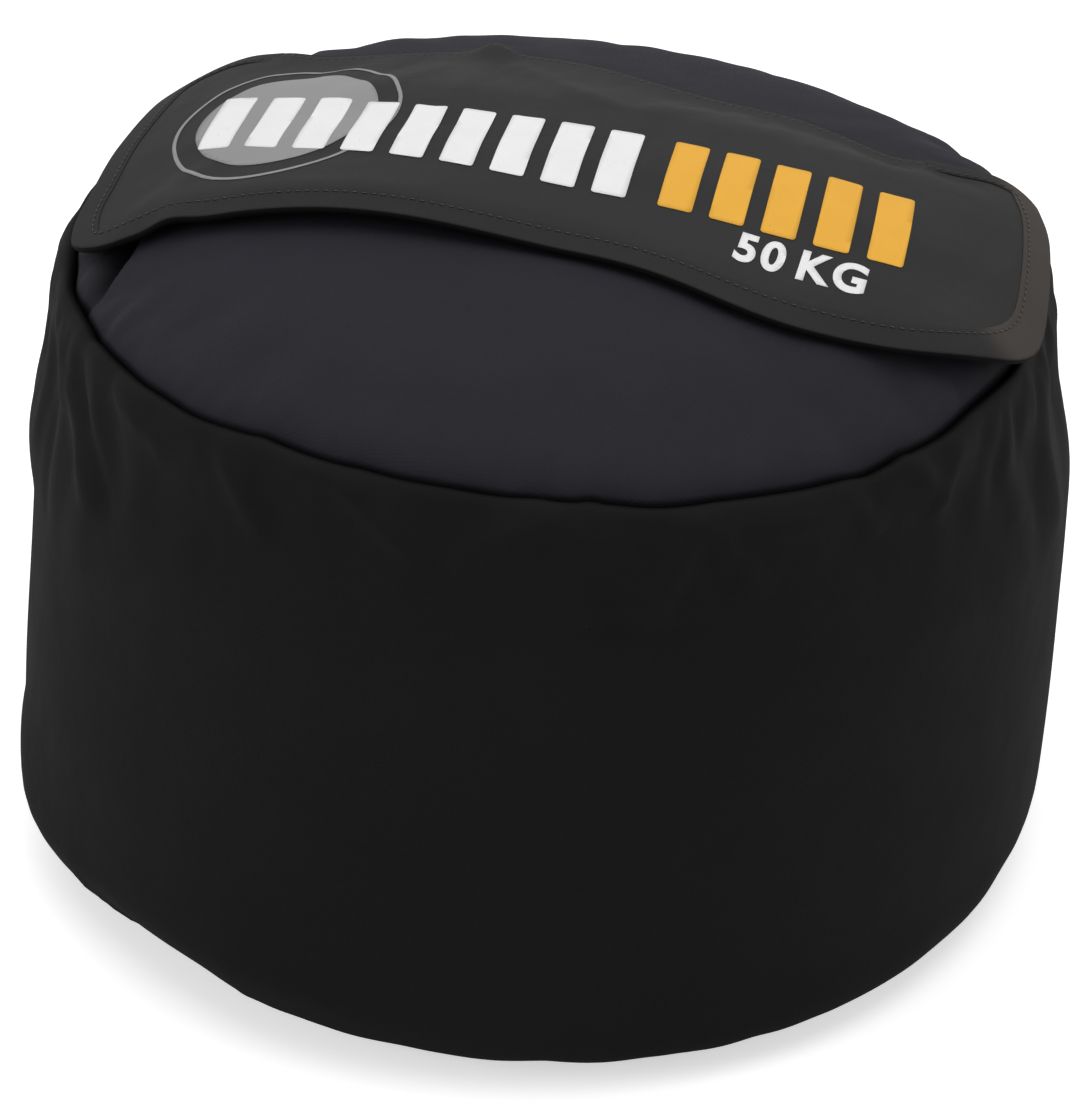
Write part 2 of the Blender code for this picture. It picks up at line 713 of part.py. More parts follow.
def rounded_plate(length, width, thickness):
    """A flat tab from behind its bar to a round end, along X."""
    bm = bmesh.new()
    half = width / 2
    back = -PULL_BAR / 2
    outline = [Vector((back, -half)), Vector((length - half, -half))]
    outline += corner_run((length - half, -half), (length, -half), (length, 0), CURVE_STEPS)[1:]
    outline += corner_run((length, 0), (length, half), (length - half, half), CURVE_STEPS)[1:]
    outline.append(Vector((back, half)))
    face = bm.faces.new([bm.verts.new((x, y, -thickness / 2)) for x, y in outline])
    extruded_bar(bm, face, [(0, 0, thickness)])
    return bm


def make_pull(parent):
    """The pull tab: its bar lies under the bail, which comes up through the window in the tab."""
    pivot = make_empty("pull_axis", (0, 0, ZIP_RADIUS + PIVOT_HEIGHT), parent)
    pivot.rotation_euler = (0, PULL_DROOP, 0)
    tab = make_piece(
        "zip_pull_tab", rounded_plate(PULL_LENGTH, PULL_WIDTH, PULL_THICKNESS), DARK_METAL,
        parent=pivot, smooth=False,
    )
    window = bmesh.new()
    bmesh.ops.create_cube(window, size=1)
    depth = PULL_THICKNESS + 2 * OVERRUN
    width = BAIL_WIDTH + 2 * (CLEARANCE + TOOTH_GAP)
    bmesh.ops.scale(window, vec=(PULL_WINDOW_LENGTH, width, depth), verts=window.verts)
    bmesh.ops.translate(
        window, vec=(PULL_BAR / 2 + PULL_WINDOW_LENGTH / 2, 0, 0), verts=window.verts
    )
    hole = bmesh.new()
    bmesh.ops.create_cone(
        hole, cap_ends=True, segments=12, radius1=PULL_HOLE_RADIUS, radius2=PULL_HOLE_RADIUS, depth=depth
    )
    bmesh.ops.translate(hole, vec=(PULL_LENGTH - PULL_WIDTH / 2, 0, 0), verts=hole.verts)
    for helper in (make_helper("pull_window_helper", window), make_helper("pull_hole_helper", hole)):
        helper.parent = pivot
        boolean(tab, helper, "DIFFERENCE")


def smooth_share(value, start, end):
    """0 up to start, 1 from end on, and a smooth rise between."""
    share = min(max((value - start) / (end - start), 0), 1)
    return share * share * (3 - 2 * share)


def drape(radius):
    """Height and slope of cloth laid over the top, which bridges the rim's groove."""
    if radius <= CROWN_EDGE_RADIUS:
        return crown_height(radius), crown_slope(radius)
    span = DRAPE_RADIUS - CROWN_EDGE_RADIUS
    start = crown_height(CROWN_EDGE_RADIUS)
    corner = start + crown_slope(CROWN_EDGE_RADIUS) * span
    rest = math.sqrt(max(DRAPE_RADIUS - radius, CLEARANCE) / span)
    share = 1 - rest
    height = start * rest**2 + 2 * rest * share * corner - share**2 * DRAPE_DROP
    rise = -2 * rest * start + 2 * (1 - 2 * share) * corner - 2 * share * DRAPE_DROP
    return height, rise / (2 * rest * span)


def draped(x, y, lift):
    """The point that lies a lift above the draped cloth over (x, y), square to it."""
    radius = math.hypot(x, y)
    height, slope = drape(radius)
    outward = Vector((x, y)) / radius if radius else Vector((0, 0))
    normal = Vector((-slope * outward.x, -slope * outward.y, 1)).normalized()
    return Vector((x, y, height)) + normal * lift


def flap_lift(x, y):
    """How far the flap's middle surface stands off the top: low at its seam and edges, high over the zip."""
    ends = smooth_share(abs(x), FLAP_SEWN_HALF - FLAP_BINDING_WIDTH, FLAP_HALF_LENGTH)
    root = LIFT_ROOT + (LIFT_EDGE - LIFT_ROOT) * smooth_share(
        abs(x), FLAP_SEWN_HALF - 2 * FLAP_BINDING_WIDTH, FLAP_SEWN_HALF
    )
    if y > 0:
        lift = root + (LIFT_OVER_ZIP - root) * smooth_share(-y, -FLAP_REAR, -LAP_EDGE)
    elif y > -HOOK_REAR:
        lift = LIFT_OVER_ZIP + (LIFT_OVER_HOOKS - LIFT_OVER_ZIP) * smooth_share(-y, LAP_EDGE, HOOK_REAR)
    else:
        lift = LIFT_OVER_HOOKS + (LIFT_EDGE - LIFT_OVER_HOOKS) * smooth_share(-y, HOOK_FRONT, FLAP_FRONT)
    beside = min(abs(x - HUMP_X) / HUMP_REACH, 1)
    hump = LIFT_HUMP * (1 - beside**2) ** 2 * smooth_share(-y, 0, FLAP_FRONT)
    return (lift + hump) * (1 - ends) + LIFT_EDGE * ends


def flap_columns():
    """The places along X of the flap inside its binding: even over the sewn length, closer at the corners."""
    sewn = [FLAP_SEWN_HALF * (2 * n / SEWN_COLUMNS - 1) for n in range(SEWN_COLUMNS + 1)]
    bend = FLAP_CORNER - FLAP_BINDING_WIDTH
    outer = [
        FLAP_CORE_X + bend * math.sin(FULL_TURN / 4 * n / CORNER_STEPS) for n in range(CORNER_STEPS + 1)
    ]
    return [-x for x in reversed(outer)] + sewn + outer


def flap_rows(x):
    """The flap's places along Y at x, inside its binding, from front to rear."""
    bend = FLAP_CORNER - FLAP_BINDING_WIDTH
    reach = math.sqrt(max(bend**2 - max(abs(x) - FLAP_CORE_X, 0) ** 2, 0))
    front, rear = FLAP_CORE_FRONT - reach, FLAP_CORE_REAR + reach
    shares = [share / FLAP_ROWS for share in range(FLAP_ROWS + 1)]
    return [front + (rear - front) * share for share in shares]


def away_from_core(x, y):
    """The direction square to the flap's outline at a place near it."""
    across = x - min(max(x, -FLAP_CORE_X), FLAP_CORE_X)
    along = y - min(max(y, FLAP_CORE_FRONT), FLAP_CORE_REAR)
    return Vector((across, along)).normalized()


def flap_sheet():
    """The flap's middle surface, with a ring of faces as wide as its binding along its edges."""
    bm = loft([[Vector((x, y, 0)) for y in flap_rows(x)] for x in flap_columns()])
    edges = [edge for edge in bm.edges if edge.is_boundary]
    grown = bmesh.ops.extrude_edge_only(bm, edges=edges)["geom"]
    for vert in (item for item in grown if isinstance(item, bmesh.types.BMVert)):
        vert.co.xy += away_from_core(*vert.co.xy) * FLAP_BINDING_WIDTH
    for vert in bm.verts:
        vert.co = draped(vert.co.x, vert.co.y, flap_lift(vert.co.x, vert.co.y))
    bmesh.ops.recalc_face_normals(bm, faces=bm.faces)
    return face_up(bm)


def face_up(bm):
    """Turns a sheet's faces so that they look up."""
    bm.normal_update()
    if sum(face.normal.z * face.calc_area() for face in bm.faces) < 0:
        bmesh.ops.reverse_faces(bm, faces=bm.faces)
        bm.normal_update()
    return bm


def offset_sheet(bm, distance):
    """Moves a sheet along its own normals."""
    moves = [(vert, vert.normal * distance) for vert in bm.verts]
    for vert, move in moves:
        vert.co += move
    bm.normal_update()
    return bm


def make_flap_plies(parent, origin):
    """The flap's two layers of cloth."""
    for name, side, cloth in (("flap_outer_ply", 1, OUTER_PLY), ("flap_inner_ply", -1, INNER_PLY)):
        bm = offset_sheet(flap_sheet(), side * PLY_GAP_HALF)
        ply = make_piece(name, bm, FLAP_NYLON, parent=parent, origin=origin)
        thicken(ply, cloth, side, even=False)


def edge_pairs(bm):
    """The sheet's edge points in order, each with the inner point that its binding reaches."""
    rim = {vert for vert in bm.verts if vert.is_boundary}
    start = min(rim, key=lambda v: (v.co - Vector((FLAP_SEWN_HALF, FLAP_REAR, v.co.z))).length)
    ordered, here = [start], start
    last = min(rim, key=lambda v: (v.co - Vector((-FLAP_SEWN_HALF, FLAP_REAR, v.co.z))).length)
    while here is not last:
        nearby = [
            edge.other_vert(here) for edge in here.link_edges
            if edge.is_boundary and edge.other_vert(here) not in ordered
        ]
        here = max(nearby, key=lambda v: v.co.x) if here is start else nearby[0]
        ordered.append(here)
    pairs = []
    for vert in ordered:
        inner = next(edge.other_vert(vert) for edge in vert.link_edges if not edge.is_boundary)
        pairs.append((vert, inner))
    return pairs


def make_flap_binding(parent, origin):
    """The tape folded over the flap's free edges: over one end, the front and the other end."""
    bm = flap_sheet()
    above = PLY_GAP_HALF + OUTER_PLY + FOLD_CLEARANCE
    below = PLY_GAP_HALF + INNER_PLY + FOLD_CLEARANCE
    lines = [[], [], [], []]
    for outer, inner in edge_pairs(bm):
        away = (outer.co - inner.co).normalized() * CLEARANCE
        lines[0].append(inner.co + inner.normal * above)
        lines[1].append(outer.co + away + outer.normal * above)
        lines[2].append(outer.co + away - outer.normal * below)
        lines[3].append(inner.co - inner.normal * below)
    bm.free()
    folded = loft(lines)
    top = max(folded.faces, key=lambda face: face.calc_center_median().z)
    if top.normal.z < 0:
        bmesh.ops.reverse_faces(folded, faces=folded.faces)
    binding = make_piece("flap_edge_binding", folded, TAUPE_BINDING, parent=parent, origin=origin)
    thicken(binding, BINDING_CLOTH, 1)


def strip_sheet(front, rear, lift_at):
    """A strip over the sewn length of the flap, from front to rear along Y, at the lift stated for each place."""
    columns = [x for x in flap_columns() if abs(x) <= FLAP_SEWN_HALF + CLEARANCE]
    return face_up(loft([[draped(x, y, lift_at(x, y)) for y in (front, rear)] for x in columns]))


def make_closing_strips(parent, origin):
    """The hook strip under the flap, the loop strip on the front panel and the strip along the sewn edge."""
    hooks = strip_sheet(-HOOK_FRONT, -HOOK_REAR, flap_lift)
    hooks = make_piece(
        "flap_hook_strip", offset_sheet(hooks, -HOOK_DROP), BLACK_WEBBING, parent=parent, origin=origin
    )
    thicken(hooks, HOOK_CLOTH, -1)
    loops = strip_sheet(-HOOK_FRONT, -HOOK_REAR, lambda x, y: CLEARANCE)
    thicken(make_piece("top_loop_strip", loops, BLACK_WEBBING, parent=parent), LOOP_CLOTH, 1)
    start = FLAP_REAR + 2 * CLEARANCE + OUTER_PLY
    root_strip = strip_sheet(start, start + ROOT_STRIP_WIDTH, lambda x, y: CLEARANCE)
    thicken(make_piece("flap_root_strip", root_strip, TOP_NYLON, parent=parent), OUTER_PLY, 1)


def liner_lines():
    """The liner's outer line up its side and over its top to the foot of its neck."""
    side = inset_profile(wall_side(), SHELL_CLOTH + LINER_GAP + CLEARANCE)
    reach = HALF_CLEARANCE + SHELL_CLOTH + CLEARANCE + BINDING_CLOTH + CLEARANCE
    base_in = BASE_SEAM_RADIUS - reach - LINER_GAP
    rim_in = RIM_RADIUS - reach - LINER_GAP
    floor = SHELL_CLOTH + CLEARANCE
    above_binding = BASE_SEAM_HEIGHT + SEAM_ALLOWANCE + BINDING_CLOTH + LINER_GAP
    below_binding = RIM_HEIGHT - SEAM_ALLOWANCE - RIM_ROLL_DROP - BINDING_CLOTH - LINER_GAP
    neck_foot = RIM_HEIGHT + CROWN_HEIGHT - LINER_CROWN_DROP
    base = [
        Vector((0, floor)), Vector((FLOOR_RADIUS - LINER_GAP, floor)),
        Vector((base_in, BASE_SEAM_HEIGHT)), Vector((base_in, above_binding)),
    ]
    top = [
        Vector((rim_in, below_binding)), Vector((rim_in, RIM_HEIGHT)),
        *corner_run(
            (rim_in, RIM_HEIGHT), (CROWN_EDGE_RADIUS, neck_foot), (NECK_RADIUS, neck_foot), CURVE_STEPS,
        )[1:],
    ]
    return base, side, top


def make_liner():
    """The inner bag that holds the sand, open at its gathered neck."""
    base, side, top = liner_lines()
    foot = top[-1].y
    neck = [
        Vector((NECK_TIE_RADIUS, foot + NECK_HEIGHT / 2)), Vector((NECK_FLARE, foot + NECK_HEIGHT)),
    ]
    bm = slump(spin_profile(base + side + top + neck, LINER_SEGMENTS))
    liner = make_piece("liner_bag", bm, LINER_WHITE)
    thicken(liner, LINER_CLOTH, -1)


def make_neck_tie(parent):
    """The cord tied round the liner's neck."""
    height = CROWN_HEIGHT - LINER_CROWN_DROP + NECK_HEIGHT / 2
    radius = NECK_TIE_RADIUS + CLEARANCE + 2 * TIE_CORD
    bm = bmesh.new()
    ring = bmesh.ops.create_circle(bm, segments=8, radius=TIE_CORD)["verts"]
    bmesh.ops.rotate(bm, verts=ring, cent=(0, 0, 0), matrix=Matrix.Rotation(math.pi / 2, 3, "X"))
    bmesh.ops.translate(bm, vec=(radius, 0, height), verts=ring)
    bmesh.ops.spin(
        bm, geom=bm.verts[:] + bm.edges[:], axis=(0, 0, 1), cent=(0, 0, 0),
        angle=FULL_TURN, steps=LINER_SEGMENTS, use_merge=True,
    )
    bmesh.ops.remove_doubles(bm, verts=bm.verts, dist=CLEARANCE / 10)
    bmesh.ops.recalc_face_normals(bm, faces=bm.faces)
    make_piece("liner_neck_tie", bm, CORD_WHITE, parent=parent)


def make_sand():
    """The fill, up to the foot of the liner's neck."""
    base, side, top = liner_lines()
    gap = LINER_CLOTH + CLEARANCE
    line = inset_profile(base + side + top, gap)
    line[0] = Vector((0, base[0].y + gap))
    line[-1] = Vector((0, top[-1].y - gap))
    bm = slump(spin_profile(line, LINER_SEGMENTS))
    bmesh.ops.recalc_face_normals(bm, faces=bm.faces)
    make_piece("sand_fill", bm, DRY_SAND)


def main():
    """Builds the bag from the base up, then the zip and the flap in the tipped frame of the top."""
    clear_scene()
    make_bottom_panel()
    make_side_wall()
    make_side_seam_tape()
    make_seam_binding("bottom_seam_binding", BASE_SEAM_RADIUS, BASE_SEAM_HEIGHT + SEAM_ALLOWANCE, 1)
    top = make_empty("top_frame", slumped(Vector((0, 0, RIM_HEIGHT))))
    top.rotation_euler = (0, TOP_TILT, 0)
    rim_edge = -SEAM_ALLOWANCE - RIM_ROLL_DROP
    make_seam_binding("top_seam_binding", RIM_RADIUS, rim_edge, -1, parent=top)
    make_top_panels(top)
    make_zip_end_panels(top)
    make_zip_tapes(top)
    make_zip_teeth(top)
    make_zip_stops(top)
    arc = make_empty("zip_arc", (0, 0, CROWN_CENTRE), top)
    arc.rotation_euler = (0, -SLIDER_PARK / ZIP_RADIUS, 0)
    make_slider(arc)
    make_pull(arc)
    seam = draped(0, FLAP_REAR, LIFT_ROOT + PLY_GAP_HALF + OUTER_PLY + CLEARANCE)
    hinge = Vector((0, FLAP_REAR + CLEARANCE, seam.z))
    flap = make_empty("flap_frame", (0, 0, 0), top)
    flap.rotation_euler = (0, 0, FLAP_TURN)
    make_flap_plies(flap, hinge)
    make_flap_binding(flap, hinge)
    make_closing_strips(flap, hinge)
    make_liner()
    make_neck_tie(top)
    make_sand()


main()
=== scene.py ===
"""Dresses the packed sandbag trainer: a squat round bag of black nylon with a zip under a wide flap.

Metres, +Z up. The origin is the middle of the base, on the floor. The bag's top is built in a frame of
its own, tipped with the rim, and the flap in a frame that is turned a little on that top.
"""

import logging
import math
from collections.abc import Callable, Iterable, Sequence
from dataclasses import dataclass
from enum import Enum

import bmesh
import bpy
import numpy as np
from mathutils import Matrix, Vector


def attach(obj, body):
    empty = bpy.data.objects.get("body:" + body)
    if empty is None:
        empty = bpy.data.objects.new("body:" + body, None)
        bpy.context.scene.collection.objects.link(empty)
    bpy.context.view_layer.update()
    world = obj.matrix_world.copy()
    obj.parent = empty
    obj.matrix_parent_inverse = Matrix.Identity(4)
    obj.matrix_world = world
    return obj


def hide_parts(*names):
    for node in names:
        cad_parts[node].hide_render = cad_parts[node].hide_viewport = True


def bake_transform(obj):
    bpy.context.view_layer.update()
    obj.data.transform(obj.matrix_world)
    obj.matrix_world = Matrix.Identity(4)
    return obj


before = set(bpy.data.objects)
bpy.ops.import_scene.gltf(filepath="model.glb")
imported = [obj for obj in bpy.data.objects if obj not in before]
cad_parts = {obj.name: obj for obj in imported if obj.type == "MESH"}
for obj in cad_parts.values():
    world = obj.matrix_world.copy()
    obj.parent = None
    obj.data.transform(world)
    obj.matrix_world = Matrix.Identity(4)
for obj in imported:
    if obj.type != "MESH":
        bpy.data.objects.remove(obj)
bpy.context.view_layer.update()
LOG = logging.getLogger("sandbag")
FULL_TURN = 2 * math.pi
SAME_POINT = 1e-6
INSIDE = (0.0, 0.0, 0.12)
UNDER = (0.0, 0.0, -1.0)
RUN = "run"
PAINTED_SHADE = "painted_shade"
WEAR = "wear"

Points = np.ndarray
Place = tuple[float, float]
Span = tuple[float, float]
Colour = tuple[float, float, float]


class Body(str, Enum):
    """The bodies that new pieces ride on."""

    BAG = "bag"
    FLAP = "flap"


# --- Shape helpers ---


def smooth_share(value: Points, start: float, end: float) -> Points:
    """Rises smoothly from 0 at start to 1 at end.

    Args:
        value: where to read the share.
        start: where it is 0.
        end: where it is 1.

    Returns:
        The share at each value.
    """
    share = np.clip((value - start) / (end - start), 0, 1)
    return share * share * (3 - 2 * share)


def between(first: Points | float, second: Points | float, share: Points) -> Points:
    """The value that lies a share of the way from a first one to a second."""
    return first + (second - first) * share


def bell(value: Points, middle: float, width: float) -> Points:
    """A smooth bump: 1 where the value is the middle, about a third at a width from it."""
    return np.exp(-(((value - middle) / width) ** 2))


def curve(start: Sequence, handle_a: Sequence, handle_b: Sequence, end: Sequence, steps: int) -> Points:
    """Points along a cubic curve.

    Args:
        start: first point, as radius and height.
        handle_a: handle of the first point.
        handle_b: handle of the last point.
        end: last point.
        steps: stretches between the points.

    Returns:
        One row for each point.
    """
    share = np.linspace(0, 1, steps + 1)[:, None]
    rest = 1 - share
    a, b, c, d = (np.array(point, float) for point in (start, handle_a, handle_b, end))
    return a * rest**3 + 3 * b * rest**2 * share + 3 * c * rest * share**2 + d * share**3


def rounded(start: Sequence, corner: Sequence, end: Sequence, steps: int) -> Points:
    """Points of a rounded corner.

    Args:
        start: where it leaves, towards the corner.
        corner: the corner that is rounded off.
        end: where it arrives, from the corner.
        steps: stretches between the points.

    Returns:
        One row for each point.
    """
    first, sharp, last = (np.array(point, float) for point in (start, corner, end))
    return curve(first, first + (sharp - first) * 2 / 3, last + (sharp - last) * 2 / 3, last, steps)


def upright(lower: Sequence, upper: Sequence, steps: int) -> Points:
    """Points of a stretch of wall that is upright at both its ends.

    Args:
        lower: its lower end.
        upper: its upper end.
        steps: stretches between the points.

    Returns:
        One row for each point.
    """
    handle_share = 0.38
    rise = np.array((0, (upper[1] - lower[1]) * handle_share))
    return curve(lower, np.array(lower) + rise, np.array(upper) - rise, upper, steps)


def joined(*runs: Points) -> Points:
    """Joins stretches whose ends meet.

    Args:
        runs: the stretches, in order.

    Returns:
        Their points without the doubled ones.
    """
    points = np.vstack([np.array(run, float) for run in runs])
    steps = np.hypot(*np.diff(points, axis=0).T)
    return points[np.concatenate(([True], steps > SAME_POINT))]


def lengths_along(points: Points) -> Points:
    """The distance along a line of points, at each of them."""
    steps = np.linalg.norm(np.diff(points, axis=0), axis=1)
    return np.concatenate(([0], np.cumsum(steps)))


def respaced(points: Points, spacing: Callable[[Points], Points]) -> Points:
    """Spaces a line's points anew.

    Args:
        points: the line.
        spacing: the wanted distance between points, for each distance along the line.

    Returns:
        The new points, ends kept.
    """
    samples = 4000
    run = lengths_along(points)
    fine = np.linspace(0, run[-1], samples)
    count = np.concatenate(([0], np.cumsum(np.diff(fine) / spacing(fine[1:]))))
    steps = int(round(count[-1]))
    marks = np.interp(np.linspace(0, count[-1], steps + 1), count, fine)
    return np.column_stack([np.interp(marks, run, points[:, axis]) for axis in range(points.shape[1])])


def evenly(points: Points, pitch: float) -> Points:
    """Spaces a line's points anew at one pitch, ends kept."""
    return respaced(points, lambda run: np.full_like(run, pitch))


def headings(points: Points) -> Points:
    """The angle of each point round the upright axis."""
    return np.arctan2(points[:, 1], points[:, 0])


def reaches(points: Points) -> Points:
    """The distance of each point from the upright axis."""
    return np.hypot(points[:, 0], points[:, 1])


def set_in(points: Points, distance: float) -> Points:
    """Moves a profile to its left by a distance.

    Args:
        points: the profile.
        distance: how far it moves.

    Returns:
        The moved profile.
    """
    along = np.gradient(points, axis=0)
    along /= np.linalg.norm(along, axis=1)[:, None]
    return points + np.column_stack((-along[:, 1], along[:, 0])) * distance


# --- Mesh helpers ---


def spin_round(bm: bmesh.types.BMesh, segments: int) -> None:
    """Turns all of a bmesh once about the upright axis and closes it.

    Args:
        bm: the line or ring that is turned.
        segments: faces round the axis.
    """
    bmesh.ops.spin(
        bm, geom=bm.verts[:] + bm.edges[:], axis=(0, 0, 1), cent=(0, 0, 0), angle=FULL_TURN, steps=segments,
        use_merge=True,
    )
    bmesh.ops.remove_doubles(bm, verts=bm.verts, dist=SAME_POINT)


def spun(profile: Points, segments: int) -> bmesh.types.BMesh:
    """Turns a profile about the upright axis and keeps each point's distance along it.

    Args:
        profile: rows of radius and height.
        segments: faces round the axis.

    Returns:
        The turned sheet.
    """
    bm = bmesh.new()
    layer = bm.verts.layers.float.new(RUN)
    verts = []
    for (radius, height), run in zip(profile, lengths_along(profile)):
        vert = bm.verts.new((radius, 0, height))
        vert[layer] = run
        verts.append(vert)
    for pair in zip(verts, verts[1:]):
        bm.edges.new(pair)
    spin_round(bm, segments)
    return bm


def lofted(rows: Sequence[Points]) -> bmesh.types.BMesh:
    """A sheet through rows of points: the first row is made, then extruded from row to row.

    Args:
        rows: rows with equally many points.

    Returns:
        The sheet.
    """
    bm = bmesh.new()
    line = [bm.verts.new(point) for point in rows[0]]
    edges = [bm.edges.new(pair) for pair in zip(line, line[1:])]
    for row in rows[1:]:
        grown = bmesh.ops.extrude_edge_only(bm, edges=edges)["geom"]
        fresh = [item for item in grown if isinstance(item, bmesh.types.BMVert)]
        edges = [item for item in grown if isinstance(item, bmesh.types.BMEdge)]
        mates = {}
        for vert in fresh:
            for edge in vert.link_edges:
                other = edge.other_vert(vert)
                if other in line and (other.co - vert.co).length == 0:
                    mates[other] = vert
        line = [mates[vert] for vert in line]
        for vert, point in zip(line, row):
            vert.co = point
        edges = [bm.edges.get(pair) for pair in zip(line, line[1:])]
    return bm


def lofted_places(rows: Sequence[Points], run: Points) -> Points:
    """Flat places for a sheet lofted from rows, in the order in which its points were made.

    Args:
        rows: the rows' points.
        run: the distance along a row, at each of its points.

    Returns:
        One flat place for each point.
    """
    steps = [0.0] + [float(np.linalg.norm(b - a, axis=1).mean()) for a, b in zip(rows, rows[1:])]
    return np.column_stack((np.tile(run, len(rows)), np.repeat(np.cumsum(steps), len(run))))


def turn_out(bm: bmesh.types.BMesh, middle: Sequence[float], outward: bool = True) -> bmesh.types.BMesh:
    """Turns a sheet's faces away from a point, or towards it.

    Args:
        bm: the sheet.
        middle: the point.
        outward: False turns them towards the point.

    Returns:
        The same sheet.
    """
    bm.normal_update()
    centre = Vector(middle)
    total = sum((f.calc_center_median() - centre).dot(f.normal) * f.calc_area() for f in bm.faces)
    if (total > 0) != outward:
        bmesh.ops.reverse_faces(bm, faces=bm.faces)
        bm.normal_update()
    return bm


def cut(bm: bmesh.types.BMesh, point: Sequence[float], normal: Sequence[float], drop: bool = True) -> None:
    """Cuts a sheet at a plane.

    Args:
        bm: the sheet.
        point: a point of the plane.
        normal: the plane's direction.
        drop: True drops what lies on the side that the direction points to.
    """
    geometry = bm.verts[:] + bm.edges[:] + bm.faces[:]
    bmesh.ops.bisect_plane(
        bm, geom=geometry, dist=SAME_POINT, plane_co=point, plane_no=normal, clear_outer=drop
    )


def extent(bm: bmesh.types.BMesh) -> tuple[Points, Points]:
    """The lowest and the highest corner of a bmesh's box."""
    places = [vert.co for vert in bm.verts]
    return np.min(places, axis=0), np.max(places, axis=0)


def coords(mesh: bpy.types.Mesh) -> Points:
    """The places of a mesh's points, one row each."""
    flat = np.empty(len(mesh.vertices) * 3)
    mesh.vertices.foreach_get("co", flat)
    return flat.reshape(-1, 3)


def set_coords(mesh: bpy.types.Mesh, points: Points) -> None:
    """Puts a mesh's points where the rows say."""
    mesh.vertices.foreach_set("co", np.ascontiguousarray(points, float).ravel())
    mesh.update()


def normals(mesh: bpy.types.Mesh) -> Points:
    """The normals at a mesh's points, one row each."""
    flat = np.empty(len(mesh.vertices) * 3)
    mesh.vertex_normals.foreach_get("vector", flat)
    return flat.reshape(-1, 3)


def stored(mesh: bpy.types.Mesh, name: str) -> Points:
    """A number kept with each of a mesh's points."""
    flat = np.empty(len(mesh.vertices))
    mesh.attributes[name].data.foreach_get("value", flat)
    return flat


def keep(mesh: bpy.types.Mesh, name: str, values: Points) -> None:
    """Keeps a number with each of a mesh's points."""
    mesh.attributes.new(name, "FLOAT", "POINT").data.foreach_set("value", values.astype(np.float32))


def lay_uv(mesh: bpy.types.Mesh, places: Points, wrap: float = 0) -> None:
    """Gives a mesh a UV map in metres.

    Args:
        mesh: the mesh.
        places: flat place of each point.
        wrap: length round a closed sheet, so that the faces at its end don't run back; 0 for an open one.
    """
    corners = np.empty(len(mesh.loops), int)
    mesh.loops.foreach_get("vertex_index", corners)
    starts = np.empty(len(mesh.polygons), int)
    mesh.polygons.foreach_get("loop_start", starts)
    flat = places[corners].astype(float)
    if wrap:
        most = np.maximum.reduceat(flat[:, 0], starts)
        counts = np.diff(np.append(starts, len(corners)))
        late = np.repeat(most, counts) - flat[:, 0] > wrap / 2
        flat[late, 0] += wrap
    layer = mesh.uv_layers.new(name="cloth")
    layer.uv.foreach_set("vector", flat.ravel())


def mesh_of(bm: bmesh.types.BMesh, name: str) -> bpy.types.Mesh:
    """Writes a bmesh to a smooth mesh and frees it.

    Args:
        bm: the bmesh.
        name: the mesh's name.

    Returns:
        The mesh.
    """
    mesh = bpy.data.meshes.new(name)
    bm.to_mesh(mesh)
    bm.free()
    mesh.shade_smooth()
    return mesh


def piece(
    mesh: bpy.types.Mesh,
    finish: bpy.types.Material,
    body: Body | None,
    nodes: Iterable[str] = (),
) -> bpy.types.Object:
    """Makes a piece of a mesh, dresses it, and ties it to the frame.

    Args:
        mesh: its mesh, already in place; its name is the piece's.
        finish: its material.
        body: the body that it rides on, or None for a piece tied to no body.
        nodes: the CAD nodes that it stands for.

    Returns:
        The piece.
    """
    made = bpy.data.objects.new(mesh.name, mesh)
    bpy.context.scene.collection.objects.link(made)
    mesh.materials.clear()
    mesh.materials.append(finish)
    if nodes:
        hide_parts(*nodes)
    if body is not None:
        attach(made, body.value)
    LOG.info("%s: %d faces", mesh.name, len(mesh.polygons))
    return made


def thicken(made: bpy.types.Object, thickness: float, side: int) -> None:
    """Gives a sheet its thickness.

    Args:
        made: the piece.
        thickness: how thick the cloth is.
        side: -1 grows it behind its faces, 1 in front of them.
    """
    solid = made.modifiers.new("thickness", "SOLIDIFY")
    solid.thickness = thickness
    solid.offset = side
    solid.use_even_offset = False
    solid.use_rim = True


# --- Finishes ---


class NodeBench:
    """A tree of nodes that are added and wired with few words."""

    def __init__(self, tree: bpy.types.NodeTree) -> None:
        """Starts on a tree."""
        self.tree = tree

    def feed(self, socket: bpy.types.NodeSocket, value: object) -> None:
        """Wires a value that comes from a node, or writes a plain one.

        Args:
            socket: the input that takes it.
            value: another node's output, or a plain value.
        """
        if isinstance(value, bpy.types.NodeSocket):
            self.tree.links.new(value, socket)
        else:
            socket.default_value = value

    def node(self, kind: str, settings: dict | None = None, **inputs: object) -> bpy.types.Node:
        """Adds a node.

        Args:
            kind: Blender's name for it, without ShaderNode.
            settings: its own settings.
            inputs: its sockets' values, with _ for a space.

        Returns:
            The node.
        """
        made = self.tree.nodes.new("ShaderNode" + kind)
        for key, value in (settings or {}).items():
            setattr(made, key, value)
        for key, value in inputs.items():
            self.feed(made.inputs[key.replace("_", " ")], value)
        return made

    def calc(self, operation: str, *values: object, clamp: bool = False) -> bpy.types.NodeSocket:
        """Adds a Math node.

        Args:
            operation: Blender's name for what it does.
            values: what it works on.
            clamp: True keeps the result between 0 and 1.

        Returns:
            The result.
        """
        made = self.node("Math", {"operation": operation, "use_clamp": clamp})
        for socket, value in zip(made.inputs, values):
            self.feed(socket, value)
        return made.outputs[0]


